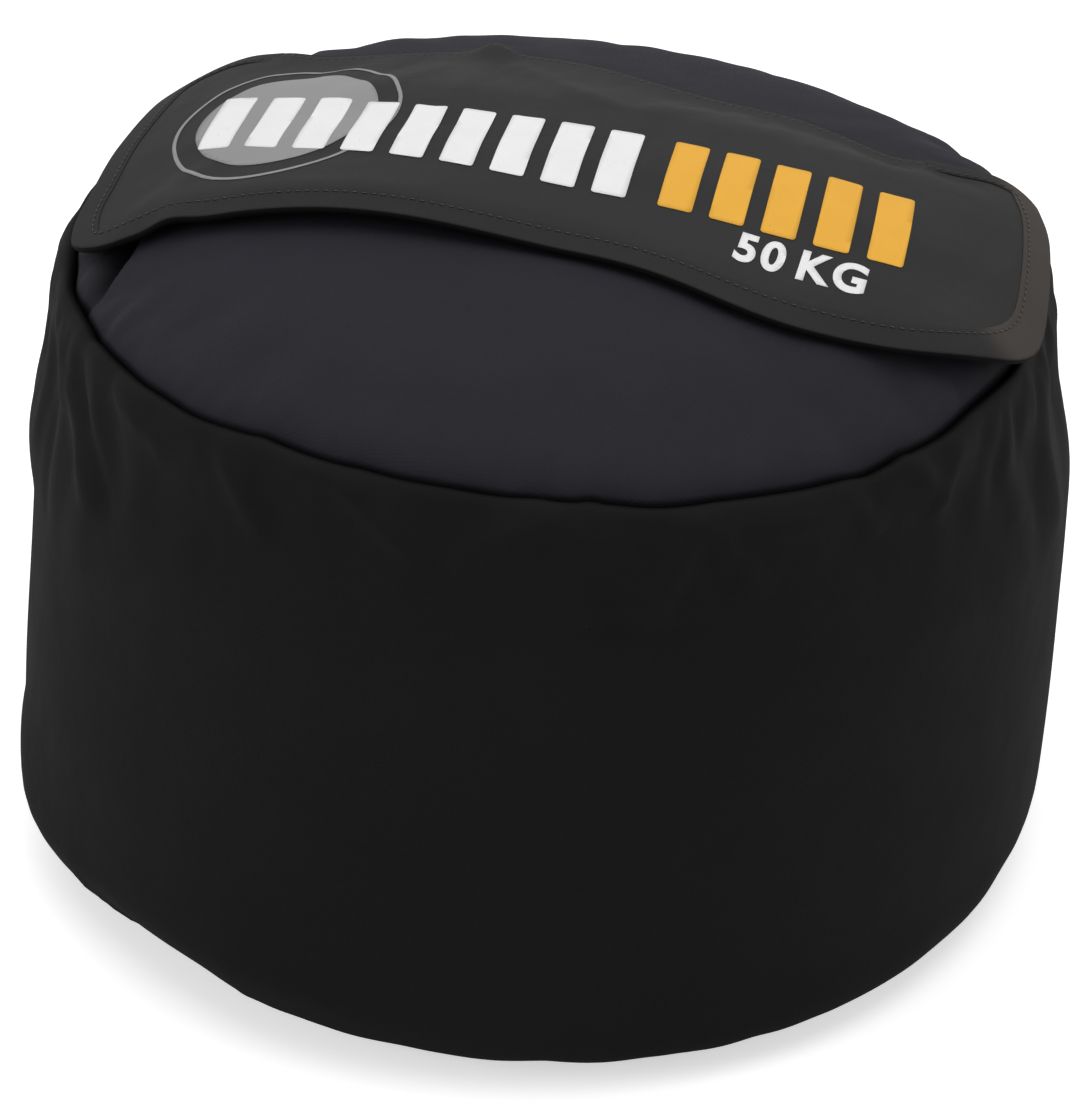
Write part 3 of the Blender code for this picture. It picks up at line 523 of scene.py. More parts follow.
class MaterialBench(NodeBench):
    """A new material, with its patterns, reliefs and shader."""

    def __init__(self, name: str) -> None:
        """Starts a material.

        Args:
            name: its name.
        """
        self.material = bpy.data.materials.new(name)
        self.material.use_nodes = True
        super().__init__(self.material.node_tree)
        self.shader = self.tree.nodes["Principled BSDF"]

    def place(self) -> bpy.types.NodeSocket:
        """The place on the piece, in metres."""
        return self.node("TexCoord").outputs["Object"]

    def kept(self, name: str) -> bpy.types.NodeSocket:
        """A number kept with the mesh's points."""
        return self.node("Attribute", {"attribute_name": name}).outputs["Fac"]

    def noise(self, scale: float, detail: float = 3) -> bpy.types.NodeSocket:
        """Soft noise that sits on the piece.

        Args:
            scale: patches to a metre.
            detail: how much finer noise is added.

        Returns:
            The noise, about 0.5.
        """
        return self.node("TexNoise", Vector=self.place(), Scale=scale, Detail=detail).outputs["Fac"]

    def cells(self, scale: float) -> tuple[bpy.types.NodeSocket, bpy.types.NodeSocket]:
        """Small cells, each with a point in it.

        Args:
            scale: cells to a metre.

        Returns:
            The distance from a cell's point, and a number from 0 to 1 for each cell.
        """
        made = self.node("TexVoronoi", Vector=self.place(), Scale=scale)
        return made.outputs["Distance"], self.node("SeparateColor", Color=made.outputs["Color"]).outputs[0]

    def weave(self, pitch: float) -> bpy.types.NodeSocket:
        """The height of a plain weave, over and under by turns.

        Args:
            pitch: the distance between two threads.

        Returns:
            The height, 0 between threads and 1 on top of one.
        """
        place = self.node("SeparateXYZ", Vector=self.node("TexCoord").outputs["UV"])
        across = self.calc("SINE", self.calc("MULTIPLY", place.outputs[0], math.pi / pitch))
        along = self.calc("SINE", self.calc("MULTIPLY", place.outputs[1], math.pi / pitch))
        over = self.calc("MULTIPLY_ADD", self.calc("MULTIPLY", across, along), 1.5, 0.5, clamp=True)
        warp = self.calc("MULTIPLY", self.calc("ABSOLUTE", across), over)
        weft = self.calc("MULTIPLY", self.calc("ABSOLUTE", along), self.calc("SUBTRACT", 1, over))
        return self.calc("ADD", warp, weft)

    def mix(self, share: object, first: object, second: object) -> bpy.types.NodeSocket:
        """Mixes two colours.

        Args:
            share: 0 for the first, 1 for the second.
            first: a colour.
            second: another.

        Returns:
            The mixed colour.
        """
        made = self.node("Mix", {"data_type": "RGBA"})
        self.feed(made.inputs[0], share)
        for socket, value in ((made.inputs[6], first), (made.inputs[7], second)):
            self.feed(socket, value if isinstance(value, bpy.types.NodeSocket) else (*value, 1))
        return made.outputs[2]

    def relief(self, height: object, depth: float, below: object = None) -> bpy.types.NodeSocket:
        """Adds relief to the surface.

        Args:
            height: the height, 0 to 1.
            depth: the height of 1, in metres.
            below: the relief that this one lies on.

        Returns:
            The normal.
        """
        made = self.node("Bump", Height=height, Distance=depth, Strength=1.0)
        if below is not None:
            self.feed(made.inputs["Normal"], below)
        return made.outputs[0]

    def finish(self, colour: object, roughness: object, normal: object = None, **others: float) -> None:
        """Wires the shader.

        Args:
            colour: its base colour.
            roughness: its roughness.
            normal: its relief.
            others: numbers that are the same all over, with _ for a space.
        """
        self.feed(self.shader.inputs["Base Color"], colour)
        self.feed(self.shader.inputs["Roughness"], roughness)
        if normal is not None:
            self.feed(self.shader.inputs["Normal"], normal)
        for key, value in others.items():
            self.shader.inputs[key.replace("_", " ")].default_value = value


def shaded(colour: Colour, share: float) -> Colour:
    """A colour made lighter or darker by a share."""
    return tuple(part * share for part in colour)


@dataclass(frozen=True)
class WovenFinish:
    """Woven nylon or tape: threads, uneven dyeing, fine crumples, a little lint and, where asked, painted
    shade.

    The colour's tone is a sum: so much of broad patches and of fine specks, as uneven dyeing, and of the
    threads, as painted shade that darkens the low places between them.
    """

    name: str
    colour: Colour
    pitch: float = 0.0008
    thread_relief: float = 0.00006
    crumple: float = 0.0005
    crumple_scale: float = 70.0
    mottle: float = 0.16
    patches: Span = (9.0, 0.62)
    specks: Span = (230.0, 0.20)
    thread_shade: float = 0.30
    roughness: float = 0.72
    uneven: float = 0.16
    gloss: float = 0.06
    lint: float = 0.12
    lint_scale: float = 55.0
    lint_size: float = 0.016
    lint_rare: float = 0.93
    faded: Colour | None = None
    with_painted_shade: bool = False
    painted_shade_share: float = 0.12

    def made(self) -> bpy.types.Material:
        """Builds the material."""
        bench = MaterialBench(self.name)
        threads = bench.weave(self.pitch)
        # Painted shade between the threads: their low places come out darker.
        dye_and_thread_shade = bench.calc("MULTIPLY", threads, self.thread_shade)
        dye_and_thread_shade = bench.calc("MULTIPLY_ADD", bench.noise(self.patches[0], 4), self.patches[1], dye_and_thread_shade)
        dye_and_thread_shade = bench.calc("MULTIPLY_ADD", bench.noise(self.specks[0], 2), self.specks[1], dye_and_thread_shade, clamp=True)
        colour = bench.mix(dye_and_thread_shade, shaded(self.colour, 1 - self.mottle), shaded(self.colour, 1 + self.mottle))
        if self.faded is not None:
            colour = bench.mix(bench.kept(WEAR), colour, self.faded)
        # Painted shade: where the painted_shade number is 1, the colour goes down to a small share of
        # itself, for shade in seams, creases and under edges.
        if self.with_painted_shade:
            colour = bench.mix(bench.kept(PAINTED_SHADE), colour, shaded(self.colour, self.painted_shade_share))
        if self.lint:
            away, chance = bench.cells(self.lint_scale)
            speck = bench.calc("LESS_THAN", away, self.lint_size)
            speck = bench.calc("MULTIPLY", speck, bench.calc("GREATER_THAN", chance, self.lint_rare))
            colour = bench.mix(speck, colour, (self.lint, self.lint, self.lint))
        smoothest = self.roughness - self.uneven / 2
        rough = bench.calc("MULTIPLY_ADD", bench.noise(40), self.uneven, smoothest)
        folds = bench.relief(bench.noise(self.crumple_scale, 5), self.crumple)
        normal = bench.relief(threads, self.thread_relief, folds)
        bench.finish(colour, rough, normal, Specular_IOR_Level=self.gloss)
        return bench.material


@dataclass(frozen=True)
class PrintFinish:
    """Screen-printed ink that follows the weave under it and has worn a little."""

    name: str
    ink: Colour
    cloth: Colour = (0.05, 0.05, 0.05)
    wear: float = 0.30
    worn_grain: float = 0.70
    worn_patch: float = 0.52
    grain_relief: float = 0.00004

    def made(self) -> bpy.types.Material:
        """Builds the material."""
        bench = MaterialBench(self.name)
        bare = bench.calc("GREATER_THAN", bench.noise(900), self.worn_grain)
        patch = bench.calc("GREATER_THAN", bench.noise(34), self.worn_patch)
        bare = bench.calc("MULTIPLY", bench.calc("MULTIPLY", bare, patch), self.wear)
        tone = bench.mix(bench.noise(60), shaded(self.ink, 0.90), self.ink)
        normal = bench.relief(bench.noise(1400, 1), self.grain_relief)
        bench.finish(bench.mix(bare, tone, self.cloth), 0.62, normal, Specular_IOR_Level=0.3)
        return bench.material


@dataclass(frozen=True)
class MetalFinish:
    """Dark plated metal, worn brighter where it rubs."""

    name: str
    colour: Colour
    bright: Colour
    worn_from: float = 0.62
    worn_share: float = 0.5
    smoothest: float = 0.22
    uneven: float = 0.25
    grain_relief: float = 0.00002

    def made(self) -> bpy.types.Material:
        """Builds the material."""
        bench = MaterialBench(self.name)
        worn = bench.calc("GREATER_THAN", bench.noise(700, 4), self.worn_from)
        colour = bench.mix(bench.calc("MULTIPLY", worn, self.worn_share), self.colour, self.bright)
        rough = bench.calc("MULTIPLY_ADD", bench.noise(320), self.uneven, self.smoothest)
        bench.finish(colour, rough, bench.relief(bench.noise(900, 2), self.grain_relief), Metallic=1.0)
        return bench.material


@dataclass(frozen=True)
class PlasticFinish:
    """Moulded plastic with a fine grain."""

    name: str
    colour: Colour
    roughness: float
    uneven: float = 0.2
    grain_relief: float = 0.00003

    def made(self) -> bpy.types.Material:
        """Builds the material."""
        bench = MaterialBench(self.name)
        colour = bench.mix(bench.noise(120), shaded(self.colour, 0.8), shaded(self.colour, 1.25))
        smoothest = self.roughness - self.uneven / 2
        rough = bench.calc("MULTIPLY_ADD", bench.noise(260, 2), self.uneven, smoothest)
        bench.finish(colour, rough, bench.relief(bench.noise(1500, 2), self.grain_relief))
        return bench.material


@dataclass(frozen=True)
class SandFinish:
    """Dry sand: grains of several colours."""

    name: str
    colour: Colour
    grains: float = 1400.0
    grain_relief: float = 0.0004

    def made(self) -> bpy.types.Material:
        """Builds the material."""
        bench = MaterialBench(self.name)
        away, hue = bench.cells(self.grains)
        colour = bench.mix(hue, shaded(self.colour, 0.6), shaded(self.colour, 1.5))
        bench.finish(colour, 0.9, bench.relief(away, self.grain_relief), Specular_IOR_Level=0.2)
        return bench.material


class Finishes:
    """All the finishes of the bag, each built once."""

    # The wall is the top's nylon given a darker colour: painted shade of the upright wall.
    wall = WovenFinish("wall_nylon", (0.0106, 0.0106, 0.0112), mottle=0.28, gloss=0.05, with_painted_shade=True)
    top = WovenFinish("top_nylon", (0.0235, 0.0225, 0.0285), crumple=0.0006, with_painted_shade=True)
    flap = WovenFinish("flap_nylon", (0.0325, 0.0323, 0.0323), crumple=0.0006, with_painted_shade=True)
    binding = WovenFinish(
        "edge_binding", (0.028, 0.0275, 0.0275), pitch=0.0010, thread_relief=0.0001, crumple=0.0003,
        faded=(0.064, 0.056, 0.050), with_painted_shade=True,
    )
    webbing = WovenFinish("webbing", (0.016, 0.016, 0.016), pitch=0.0011, thread_relief=0.00012)
    hooks = WovenFinish("hook_tape", (0.014, 0.014, 0.014), pitch=0.0013, thread_relief=0.0005, crumple=0.0)
    zip_tape = WovenFinish("zip_tape", (0.018, 0.018, 0.019), pitch=0.0006, crumple=0.0)
    liner = WovenFinish("liner", (0.52, 0.51, 0.47), pitch=0.0022, crumple=0.0014, roughness=0.5, lint=0.0)
    cord = WovenFinish("tie_cord", (0.70, 0.68, 0.62), pitch=0.0006, thread_relief=0.0002, lint=0.0)
    thread = PlasticFinish("thread", (0.022, 0.022, 0.023), 0.5)
    teeth = PlasticFinish("zip_teeth", (0.014, 0.014, 0.015), 0.36)
    metal = MetalFinish("zip_metal", (0.16, 0.16, 0.17), (0.42, 0.41, 0.40))
    sand = SandFinish("sand", (0.43, 0.33, 0.21))
    white_print = PrintFinish("white_print", (0.93, 0.93, 0.93))
    amber_print = PrintFinish("amber_print", (0.90, 0.46, 0.045))
    grey_print = PrintFinish("grey_print", (0.29, 0.29, 0.29))


# --- The bag's form ---


@dataclass(frozen=True)
class Gathers:
    """Puckers that run away from a seam, finer close to it.

    A ridge is a rounded wave less its mean, and stands highest at a share of its reach.
    """

    seed: int
    height: float
    reach: float
    narrow: float = 0.009
    wide: float = 0.045
    count: int = 11
    rounding: float = 0.52
    ridge_mean: float = 0.66
    peak_share: float = 0.42
    growth: float = 0.8

    def rise(self, angle: Points, radius: float, away: Points) -> Points:
        """How far the cloth stands out.

        Args:
            angle: where along the seam, as an angle.
            radius: the seam's radius, so that angle times radius is a length.
            away: the distance from the seam.

        Returns:
            The rise at each point.
        """
        draw = np.random.RandomState(self.seed)
        total = np.zeros_like(angle)
        for step in range(self.count):
            width = self.narrow * (self.wide / self.narrow) ** (step / (self.count - 1))
            number = round(FULL_TURN * radius / width)
            phase, patch_phase = draw.uniform(0, FULL_TURN), draw.uniform(0, FULL_TURN)
            lean = draw.uniform(-0.5, 0.5)
            patches = draw.randint(2, 9)
            size = (width / self.wide) ** self.growth
            wave = np.cos(number * angle + phase + lean * FULL_TURN * away / width)
            ridge = np.sqrt(self.rounding + 0.5 * wave) - self.ridge_mean
            swell = np.clip(0.45 + 0.75 * np.cos(patches * angle + patch_phase), 0, 1)
            share = away / (self.peak_share * self.reach * size)
            fade = np.clip(share, 0, None) * np.exp(1 - np.clip(share, 0, 30))
            total += self.height * size * ridge * swell * fade
        return total


@dataclass(frozen=True)
class Fold:
    """A ridge, or a crease with a negative height, along a line in the cloth's flat coordinates."""

    start: Place
    end: Place
    width: float
    height: float
    blunt: float = 0.7

    def rise(self, across: Points, along: Points) -> Points:
        """How far the cloth stands out.

        Args:
            across: first flat coordinate.
            along: second flat coordinate.

        Returns:
            The rise at each point.
        """
        run = (self.end[0] - self.start[0], self.end[1] - self.start[1])
        length = math.hypot(*run)
        share = ((across - self.start[0]) * run[0] + (along - self.start[1]) * run[1]) / length**2
        beside = np.abs((across - self.start[0]) * run[1] - (along - self.start[1]) * run[0]) / length
        taper = np.clip(1 - (2 * share - 1) ** 2, 0, 1)
        return self.height * bell(beside, 0, self.width) * taper**self.blunt


@dataclass(frozen=True)
class Swell:
    """A soft round swell of the cloth, or a hollow with a negative height."""

    x: float
    y: float
    width: float
    height: float

    def rise(self, x: Points, y: Points) -> Points:
        """How far the cloth stands out at a place."""
        return self.height * bell(np.hypot(x - self.x, y - self.y), 0, self.width)


@dataclass(frozen=True)
class Kink:
    """A place where the rim seam jumps up, or down with a negative height; headings are in degrees."""

    heading: float
    width: float
    height: float

    def rise(self, angle: Points) -> Points:
        """How far the seam stands up at each angle round the bag."""
        return self.height * bell(np.degrees(angle), self.heading, self.width)


@dataclass(frozen=True)
class Ramp:
    """A shift that grows smoothly from nothing at its start to its full amount at its end."""

    start: float
    end: float
    amount: float

    def at(self, place: Points) -> Points:
        """The shift at a place."""
        return self.amount * smooth_share(place, self.start, self.end)


@dataclass(frozen=True)
class Wave:
    """A wave round the bag, by which it stands out of the round or its rim rises and falls."""

    level: float
    lobes: int
    height: float
    heading: float

    def at(self, angle: Points) -> Points:
        """The wave's height at each angle round the bag; a crest lies at its heading, in degrees."""
        return self.height * np.cos(self.lobes * (angle - math.radians(self.heading)))


@dataclass(frozen=True)
class BagForm:
    """The bag's measured shape, which all its pieces share.

    The middle of the base and of the top stays calm: a point moves only outside a radius, which grows
    with its height.
    """

    bulge: Place = (0.210, 0.036)
    waist: Place = (0.2030, 0.1652)
    shoulder: Place = (0.1955, 0.226)
    rim_radius: float = 0.187
    rim_height: float = 0.249
    rim_roll: float = 0.003
    rim_drop: float = 0.004
    allowance: float = 0.010
    base_radius: float = 0.168
    base_height: float = 0.0045
    base_roll: float = 0.003
    floor_radius: float = 0.156
    cloth: float = 0.0016
    gap: float = 0.0003
    lean: float = 0.010
    tilt: float = math.radians(2.2)
    slump_top: float = 0.219
    crown_height: float = 0.042
    crown_radius: float = 0.650
    crown_edge: float = 0.130
    drape_radius: float = 0.197
    drape_drop: float = 0.012
    rim_dip: float = 0.0020
    dip_inward: float = 0.016
    dip_width: float = 0.014
    slot_half: float = 0.0095
    slot_calm: float = 0.020
    calm_base: Span = (0.090, 0.150)
    calm_growth: Span = (0.035, 0.037)
    calm_heights: Span = (0.05, 0.20)
    rim_wave_from: float = 0.12
    seam_seed: int = 7
    seam_lobes: tuple[int, ...] = (5, 8, 13, 21, 29, 41)
    seam_rise: float = 0.0007
    seam_sway: float = 0.0012
    seam_reach: Span = (0.002, 0.040)
    levels: tuple[float, ...] = (0.012, 0.040, 0.130, 0.245)
    unround: tuple[Wave, ...] = (
        Wave(0.012, 1, 0.0015, 35),
        Wave(0.012, 2, 0.0022, -28),
        Wave(0.012, 3, 0.0020, 65),
        Wave(0.040, 2, 0.0010, 45),
        Wave(0.040, 3, 0.0017, -19),
        Wave(0.130, 0, 0.0012, 0),
        Wave(0.130, 2, 0.0012, 15),
        Wave(0.245, 0, -0.0010, 0),
        Wave(0.245, 1, 0.0015, -113),
        Wave(0.245, 2, 0.0023, 84),
    )
    rim_waves: tuple[Wave, ...] = (Wave(0.249, 2, 0.0020, -4), Wave(0.249, 3, 0.0046, 15))
    kinks: tuple[Kink, ...] = (
        Kink(-143.5, 1.6, -0.0014),
        Kink(-112.0, 1.2, 0.0007),
        Kink(-77.0, 1.0, 0.0010),
        Kink(-46.0, 2.2, -0.0013),
        Kink(-41.0, 1.2, 0.0012),
    )
    swells: tuple[Swell, ...] = (
        Swell(-0.071, -0.060, 0.050, 0.0035),
        Swell(-0.075, -0.150, 0.035, 0.0008),
        Swell(0.070, -0.120, 0.050, -0.0010),
        Swell(0.000, -0.140, 0.045, 0.0010),
        Swell(0.120, -0.060, 0.040, 0.0008),
        Swell(-0.110, -0.100, 0.030, -0.0007),
    )

    def beside_slot(self, y: Points) -> Points:
        """How freely the top's cloth may swell: 0 at the zip's slot, 1 well away from it."""
        return smooth_share(np.abs(y), self.slot_half, self.slot_half + self.slot_calm)

    def swell_at(self, x: Points, y: Points) -> Points:
        """How far the top's cloth swells at a place on it."""
        return self.beside_slot(y) * sum(swell.rise(x, y) for swell in self.swells)

    def level_share(self, heights: Points, level: float) -> Points:
        """How much a level counts: 1 on it, fading to 0 at its neighbours.

        Args:
            heights: where to read it.
            level: one of the levels.

        Returns:
            The share at each height.
        """
        index = self.levels.index(level)
        share = np.ones_like(heights)
        if index > 0:
            share = np.where(heights < level, smooth_share(heights, self.levels[index - 1], level), share)
        if index < len(self.levels) - 1:
            faded = 1 - smooth_share(heights, level, self.levels[index + 1])
            share = np.where(heights > level, faded, share)
        return share

    def settled(self, points: Points) -> Points:
        """Moves points of the round, upright bag to where the filled bag has settled.

        Args:
            points: rows of x, y, z over the floor.

        Returns:
            The moved rows. The middle of the base and of the top stay.
        """
        radius, angle = reaches(points), headings(points)
        high = smooth_share(points[:, 2], *self.calm_heights)
        start, end = (base + more * high for base, more in zip(self.calm_base, self.calm_growth))
        outer = smooth_share(radius, start, end)
        out = sum(wave.at(angle) * self.level_share(points[:, 2], wave.level) for wave in self.unround)
        up = sum(wave.at(angle) for wave in self.rim_waves)
        up = up * smooth_share(points[:, 2], self.rim_wave_from, self.rim_height)
        wider = 1 + out * outer / np.maximum(radius, self.calm_base[1])
        return np.column_stack((points[:, 0] * wider, points[:, 1] * wider, points[:, 2] + up * outer))

    def slumped(self, points: Points) -> Points:
        """Puts points of the upright bag where the slumped bag has them.

        Args:
            points: rows of x, y, z.

        Returns:
            The moved rows.
        """
        points = self.settled(points)
        share = smooth_share(points[:, 2], 0, self.slump_top)
        angle = self.tilt * share
        above = np.maximum(points[:, 2] - self.slump_top, 0)
        level = np.minimum(points[:, 2], self.slump_top)
        x = self.lean * share + points[:, 0] * np.cos(angle) + above * np.sin(angle)
        z = level - points[:, 0] * np.sin(angle) + above * np.cos(angle)
        return np.column_stack((x, points[:, 1], z))

    def on_top(self, points: Points) -> Points:
        """Puts points of the top's own frame, whose plane is the rim's, where the slumped bag has them.

        Args:
            points: rows of x, y and the height over the rim's plane.

        Returns:
            The moved rows.
        """
        foot = self.slumped(np.array([[0, 0, self.rim_height]]))[0]
        c, s = math.cos(self.tilt), math.sin(self.tilt)
        rim = np.array((0, 0, self.rim_height))
        x, y, z = (self.settled(points + rim) - rim).T
        return np.column_stack((foot[0] + c * x + s * z, y, foot[2] - s * x + c * z))

    def crown(self, radius: Points) -> Points:
        """The height of the crown's round middle at a radius, over the rim's plane."""
        return self.crown_height - self.crown_radius + np.sqrt(self.crown_radius**2 - np.square(radius))

    def crown_slope(self, radius: Points) -> Points:
        """The crown's slope outwards at a radius."""
        return -radius / np.sqrt(self.crown_radius**2 - np.square(radius))

    def drape(self, radius: Points) -> tuple[Points, Points]:
        """Height and slope of cloth laid over the top, which bridges the rim's groove.

        Args:
            radius: distance from the top's middle.

        Returns:
            The height over the rim's plane and the slope outwards.
        """
        inner = np.minimum(radius, self.crown_edge)
        span = self.drape_radius - self.crown_edge
        start = self.crown(self.crown_edge)
        corner = start + self.crown_slope(self.crown_edge) * span
        least = 0.0003
        rest = np.sqrt(np.maximum(self.drape_radius - radius, least) / span)
        share = 1 - rest
        height = start * rest**2 + 2 * rest * share * corner - share**2 * self.drape_drop
        rise = -2 * rest * start + 2 * (1 - 2 * share) * corner - 2 * share * self.drape_drop
        inside = radius <= self.crown_edge
        return (
            np.where(inside, self.crown(inner), height),
            np.where(inside, self.crown_slope(inner), rise / (2 * rest * span)),
        )

    def wall_side(self, steps: int = 60) -> Points:
        """The wall's outer line from the bulge to the shoulder."""
        return joined(upright(self.bulge, self.waist, steps), upright(self.waist, self.shoulder, steps // 3))

    def wall_line(self) -> Points:
        """The wall's outer line, from the allowance in the base seam to the one in the rim."""
        base = self.base_radius + self.gap / 2
        roll_low = self.base_roll / 3
        rim = self.rim_radius + self.gap / 2
        rim_top = (rim + self.rim_roll, self.rim_height)
        rim_low = self.rim_height - self.rim_drop
        return joined(
            [(base, self.base_height + self.allowance), (base, self.base_height)],
            rounded((base, self.base_height), (base, roll_low), (base + self.base_roll, roll_low), 6),
            rounded((base + self.base_roll, roll_low), (self.bulge[0], roll_low), self.bulge, 40),
            self.wall_side(),
            rounded(self.shoulder, (self.shoulder[0], self.rim_height), rim_top, 16),
            rounded(rim_top, (rim, self.rim_height), (rim, rim_low), 8),
            [(rim, rim_low), (rim, rim_low - self.allowance)],
        )

    def rim_run(self, line: Points) -> float:
        """How far along the wall's line the rim's highest point is."""
        return lengths_along(line)[int(np.argmax(line[:, 1]))]

    def dome_line(self) -> Points:
        """The top's outer line, from the allowance inside the rim to the crown's middle."""
        edge = self.rim_radius - self.gap / 2
        start = float(self.crown(self.crown_edge))
        corner = start + float(self.crown_slope(self.crown_edge)) * (edge - self.crown_edge)
        radii = np.linspace(self.crown_edge, 0, 40)
        line = joined(
            [(edge, -self.allowance - self.rim_drop), (edge, -self.rim_drop)],
            rounded((edge, -self.rim_drop), (edge, corner), (self.crown_edge, start), 40),
            np.column_stack((radii, self.crown(radii))),
        )
        dip = bell(line[:, 0], edge - self.dip_inward, self.dip_width) * (line[:, 1] > -self.rim_drop)
        line[:, 1] -= self.rim_dip * dip
        return line

    def seam_moved(self, points: Points, angle: Points, away: Points) -> Points:
        """Lets the rim seam run unevenly, for the wall and the top alike.

        Args:
            points: rows of x, y, z.
            angle: where each one is round the bag.
            away: each point's distance from the seam.

        Returns:
            The moved rows.
        """
        draw = np.random.RandomState(self.seam_seed)
        rise, out = np.zeros_like(angle), np.zeros_like(angle)
        for number in self.seam_lobes:
            phase_up, phase_out = draw.uniform(0, FULL_TURN, 2)
            rise += np.cos(number * angle + phase_up) * self.seam_rise / math.sqrt(number)
            out += np.cos(number * angle + phase_out) * self.seam_sway / math.sqrt(number)
        rise += sum(kink.rise(angle) for kink in self.kinks)
        near = 1 - smooth_share(away, *self.seam_reach)
        wider = 1 + out * near / np.maximum(reaches(points), SAME_POINT)
        return np.column_stack((points[:, 0] * wider, points[:, 1] * wider, points[:, 2] + rise * near))


# --- Sub-assemblies ---


@dataclass
class SideWall:
    """The wall: one loop of nylon, gathered into the rim and base seams.

    Its folds are placed by their way round at the rim and their way down from it.
    """

    form: BagForm
    segments: int = 400
    mean_radius: float = 0.198
    near_rim: float = 0.0017
    elsewhere: float = 0.0046
    hidden_pitch: float = 0.005
    fine_reach: Span = (0.045, 0.085)
    low_reach: Span = (0.012, 0.050)
    low_share: float = 0.35
    rim_gathers: Gathers = Gathers(11, 0.0020, 0.060)
    base_gathers: Gathers = Gathers(23, 0.0010, 0.035)
    rim_start: float = 0.006
    base_start: float = 0.016
    calm_heading: float = -80.0
    calm_share: float = 0.35
    calm_width: Span = (38.0, 62.0)
    painted_shade_deep: Ramp = Ramp(0.0, 0.0022, 0.92)
    painted_shade_faint: Ramp = Ramp(0.002, 0.010, 0.08)
    folds: tuple[Fold, ...] = (
        Fold((-0.565, 0.000), (-0.535, 0.100), 0.024, 0.0040),
        Fold((-0.525, 0.190), (-0.455, 0.246), 0.022, 0.0036),
        Fold((-0.450, 0.235), (-0.370, 0.235), 0.026, -0.0028),
        Fold((-0.095, 0.007), (0.110, 0.007), 0.013, -0.0028),
        Fold((-0.493, 0.008), (-0.483, 0.040), 0.005, 0.0024),
        Fold((-0.480, 0.022), (-0.447, 0.066), 0.006, 0.0028),
        Fold((-0.470, 0.016), (-0.434, 0.062), 0.004, -0.0018),
        Fold((-0.515, 0.010), (-0.520, 0.080), 0.006, 0.0018),
        Fold((-0.500, 0.030), (-0.490, 0.090), 0.005, -0.0014),
        Fold((-0.440, 0.006), (-0.405, 0.018), 0.006, 0.0022),
        Fold((-0.380, 0.003), (-0.360, 0.038), 0.006, 0.0034),
        Fold((-0.368, 0.005), (-0.322, 0.007), 0.004, 0.0020),
        Fold((-0.334, 0.004), (-0.302, 0.030), 0.006, 0.0036),
        Fold((-0.262, 0.002), (-0.296, 0.030), 0.007, 0.0040),
        Fold((-0.266, 0.004), (-0.244, 0.024), 0.006, 0.0030),
        Fold((-0.250, 0.002), (-0.226, 0.050), 0.006, 0.0038),
        Fold((-0.215, 0.002), (-0.236, 0.050), 0.006, 0.0036),
        Fold((-0.216, 0.002), (-0.192, 0.040), 0.006, 0.0034),
        Fold((-0.210, 0.010), (-0.158, 0.013), 0.006, 0.0028),
        Fold((-0.164, 0.003), (-0.146, 0.026), 0.005, 0.0026),
        Fold((-0.132, 0.002), (-0.116, 0.026), 0.005, 0.0028),
        Fold((-0.106, 0.004), (-0.122, 0.034), 0.005, 0.0022),
        Fold((-0.300, 0.051), (-0.209, 0.047), 0.004, -0.0014),
        Fold((-0.452, 0.222), (-0.430, 0.252), 0.005, 0.0016),
        Fold((-0.078, 0.006), (-0.070, 0.060), 0.007, 0.0016),
        Fold((-0.040, 0.012), (-0.030, 0.085), 0.007, 0.0014),
    )

    def spacing(self, line: Points) -> Callable[[Points], Points]:
        """How closely the rings lie along the wall: closer near the rim and in the base's roll.

        Args:
            line: the wall's line.

        Returns:
            The spacing, as a function of the distance along the line.
        """
        rim = self.form.rim_run(line)
        end = lengths_along(line)[-1]

        def at(run: Points) -> Points:
            """The spacing at a distance along the line."""
            near = smooth_share(np.abs(run - rim), *self.fine_reach)
            low = between(self.low_share, 1, smooth_share(run, *self.low_reach))
            wide = between(self.near_rim, self.elsewhere, near * low)
            hidden = (run > end - self.form.allowance) | (run < self.form.allowance)
            return np.where(hidden, self.hidden_pitch, wide)

        return at

    def uneven(self, mesh: bpy.types.Mesh, rim: float) -> None:
        """Moves the wall's points for its gathers, folds and uneven seam.

        Args:
            mesh: the upright wall.
            rim: how far along the profile the rim is.
        """
        points, outward, run = coords(mesh), normals(mesh), stored(mesh, RUN)
        angle, down = headings(points), rim - run
        rise = self.rim_gathers.rise(angle, self.form.rim_radius, np.maximum(down - self.rim_start, 0))
        apart = np.abs(np.degrees(angle) - self.calm_heading)
        rise *= between(self.calm_share, 1, smooth_share(apart, *self.calm_width))
        rise += self.base_gathers.rise(angle, self.form.base_radius, np.maximum(run - self.base_start, 0))
        rise += sum(fold.rise(angle * self.form.rim_radius, down) for fold in self.folds)
        points = self.form.seam_moved(points + outward * rise[:, None], angle, np.maximum(down, 0))
        set_coords(mesh, self.form.slumped(points))

    def build(self) -> bpy.types.Object:
        """Builds the wall and dresses it."""
        line = self.form.wall_line()
        line = respaced(line, self.spacing(line))
        mesh = mesh_of(turn_out(spun(line, self.segments), INSIDE), "side_wall_cloth")
        rim, run = self.form.rim_run(line), stored(mesh, RUN)
        round_way = np.mod(headings(coords(mesh)) - math.pi / 2, FULL_TURN)
        lay_uv(mesh, np.column_stack((round_way * self.mean_radius, run)), FULL_TURN * self.mean_radius)
        # Painted shade: darkens the wall along the rim seam, nearly black at the seam and fading out about
        # 10 mm below it.
        keep(mesh, PAINTED_SHADE, 1 - self.painted_shade_deep.at(rim - run) - self.painted_shade_faint.at(rim - run))
        self.uneven(mesh, rim)
        made = piece(mesh, Finishes.wall.made(), Body.BAG, ["side_wall"])
        thicken(made, self.form.cloth, -1)
        return made


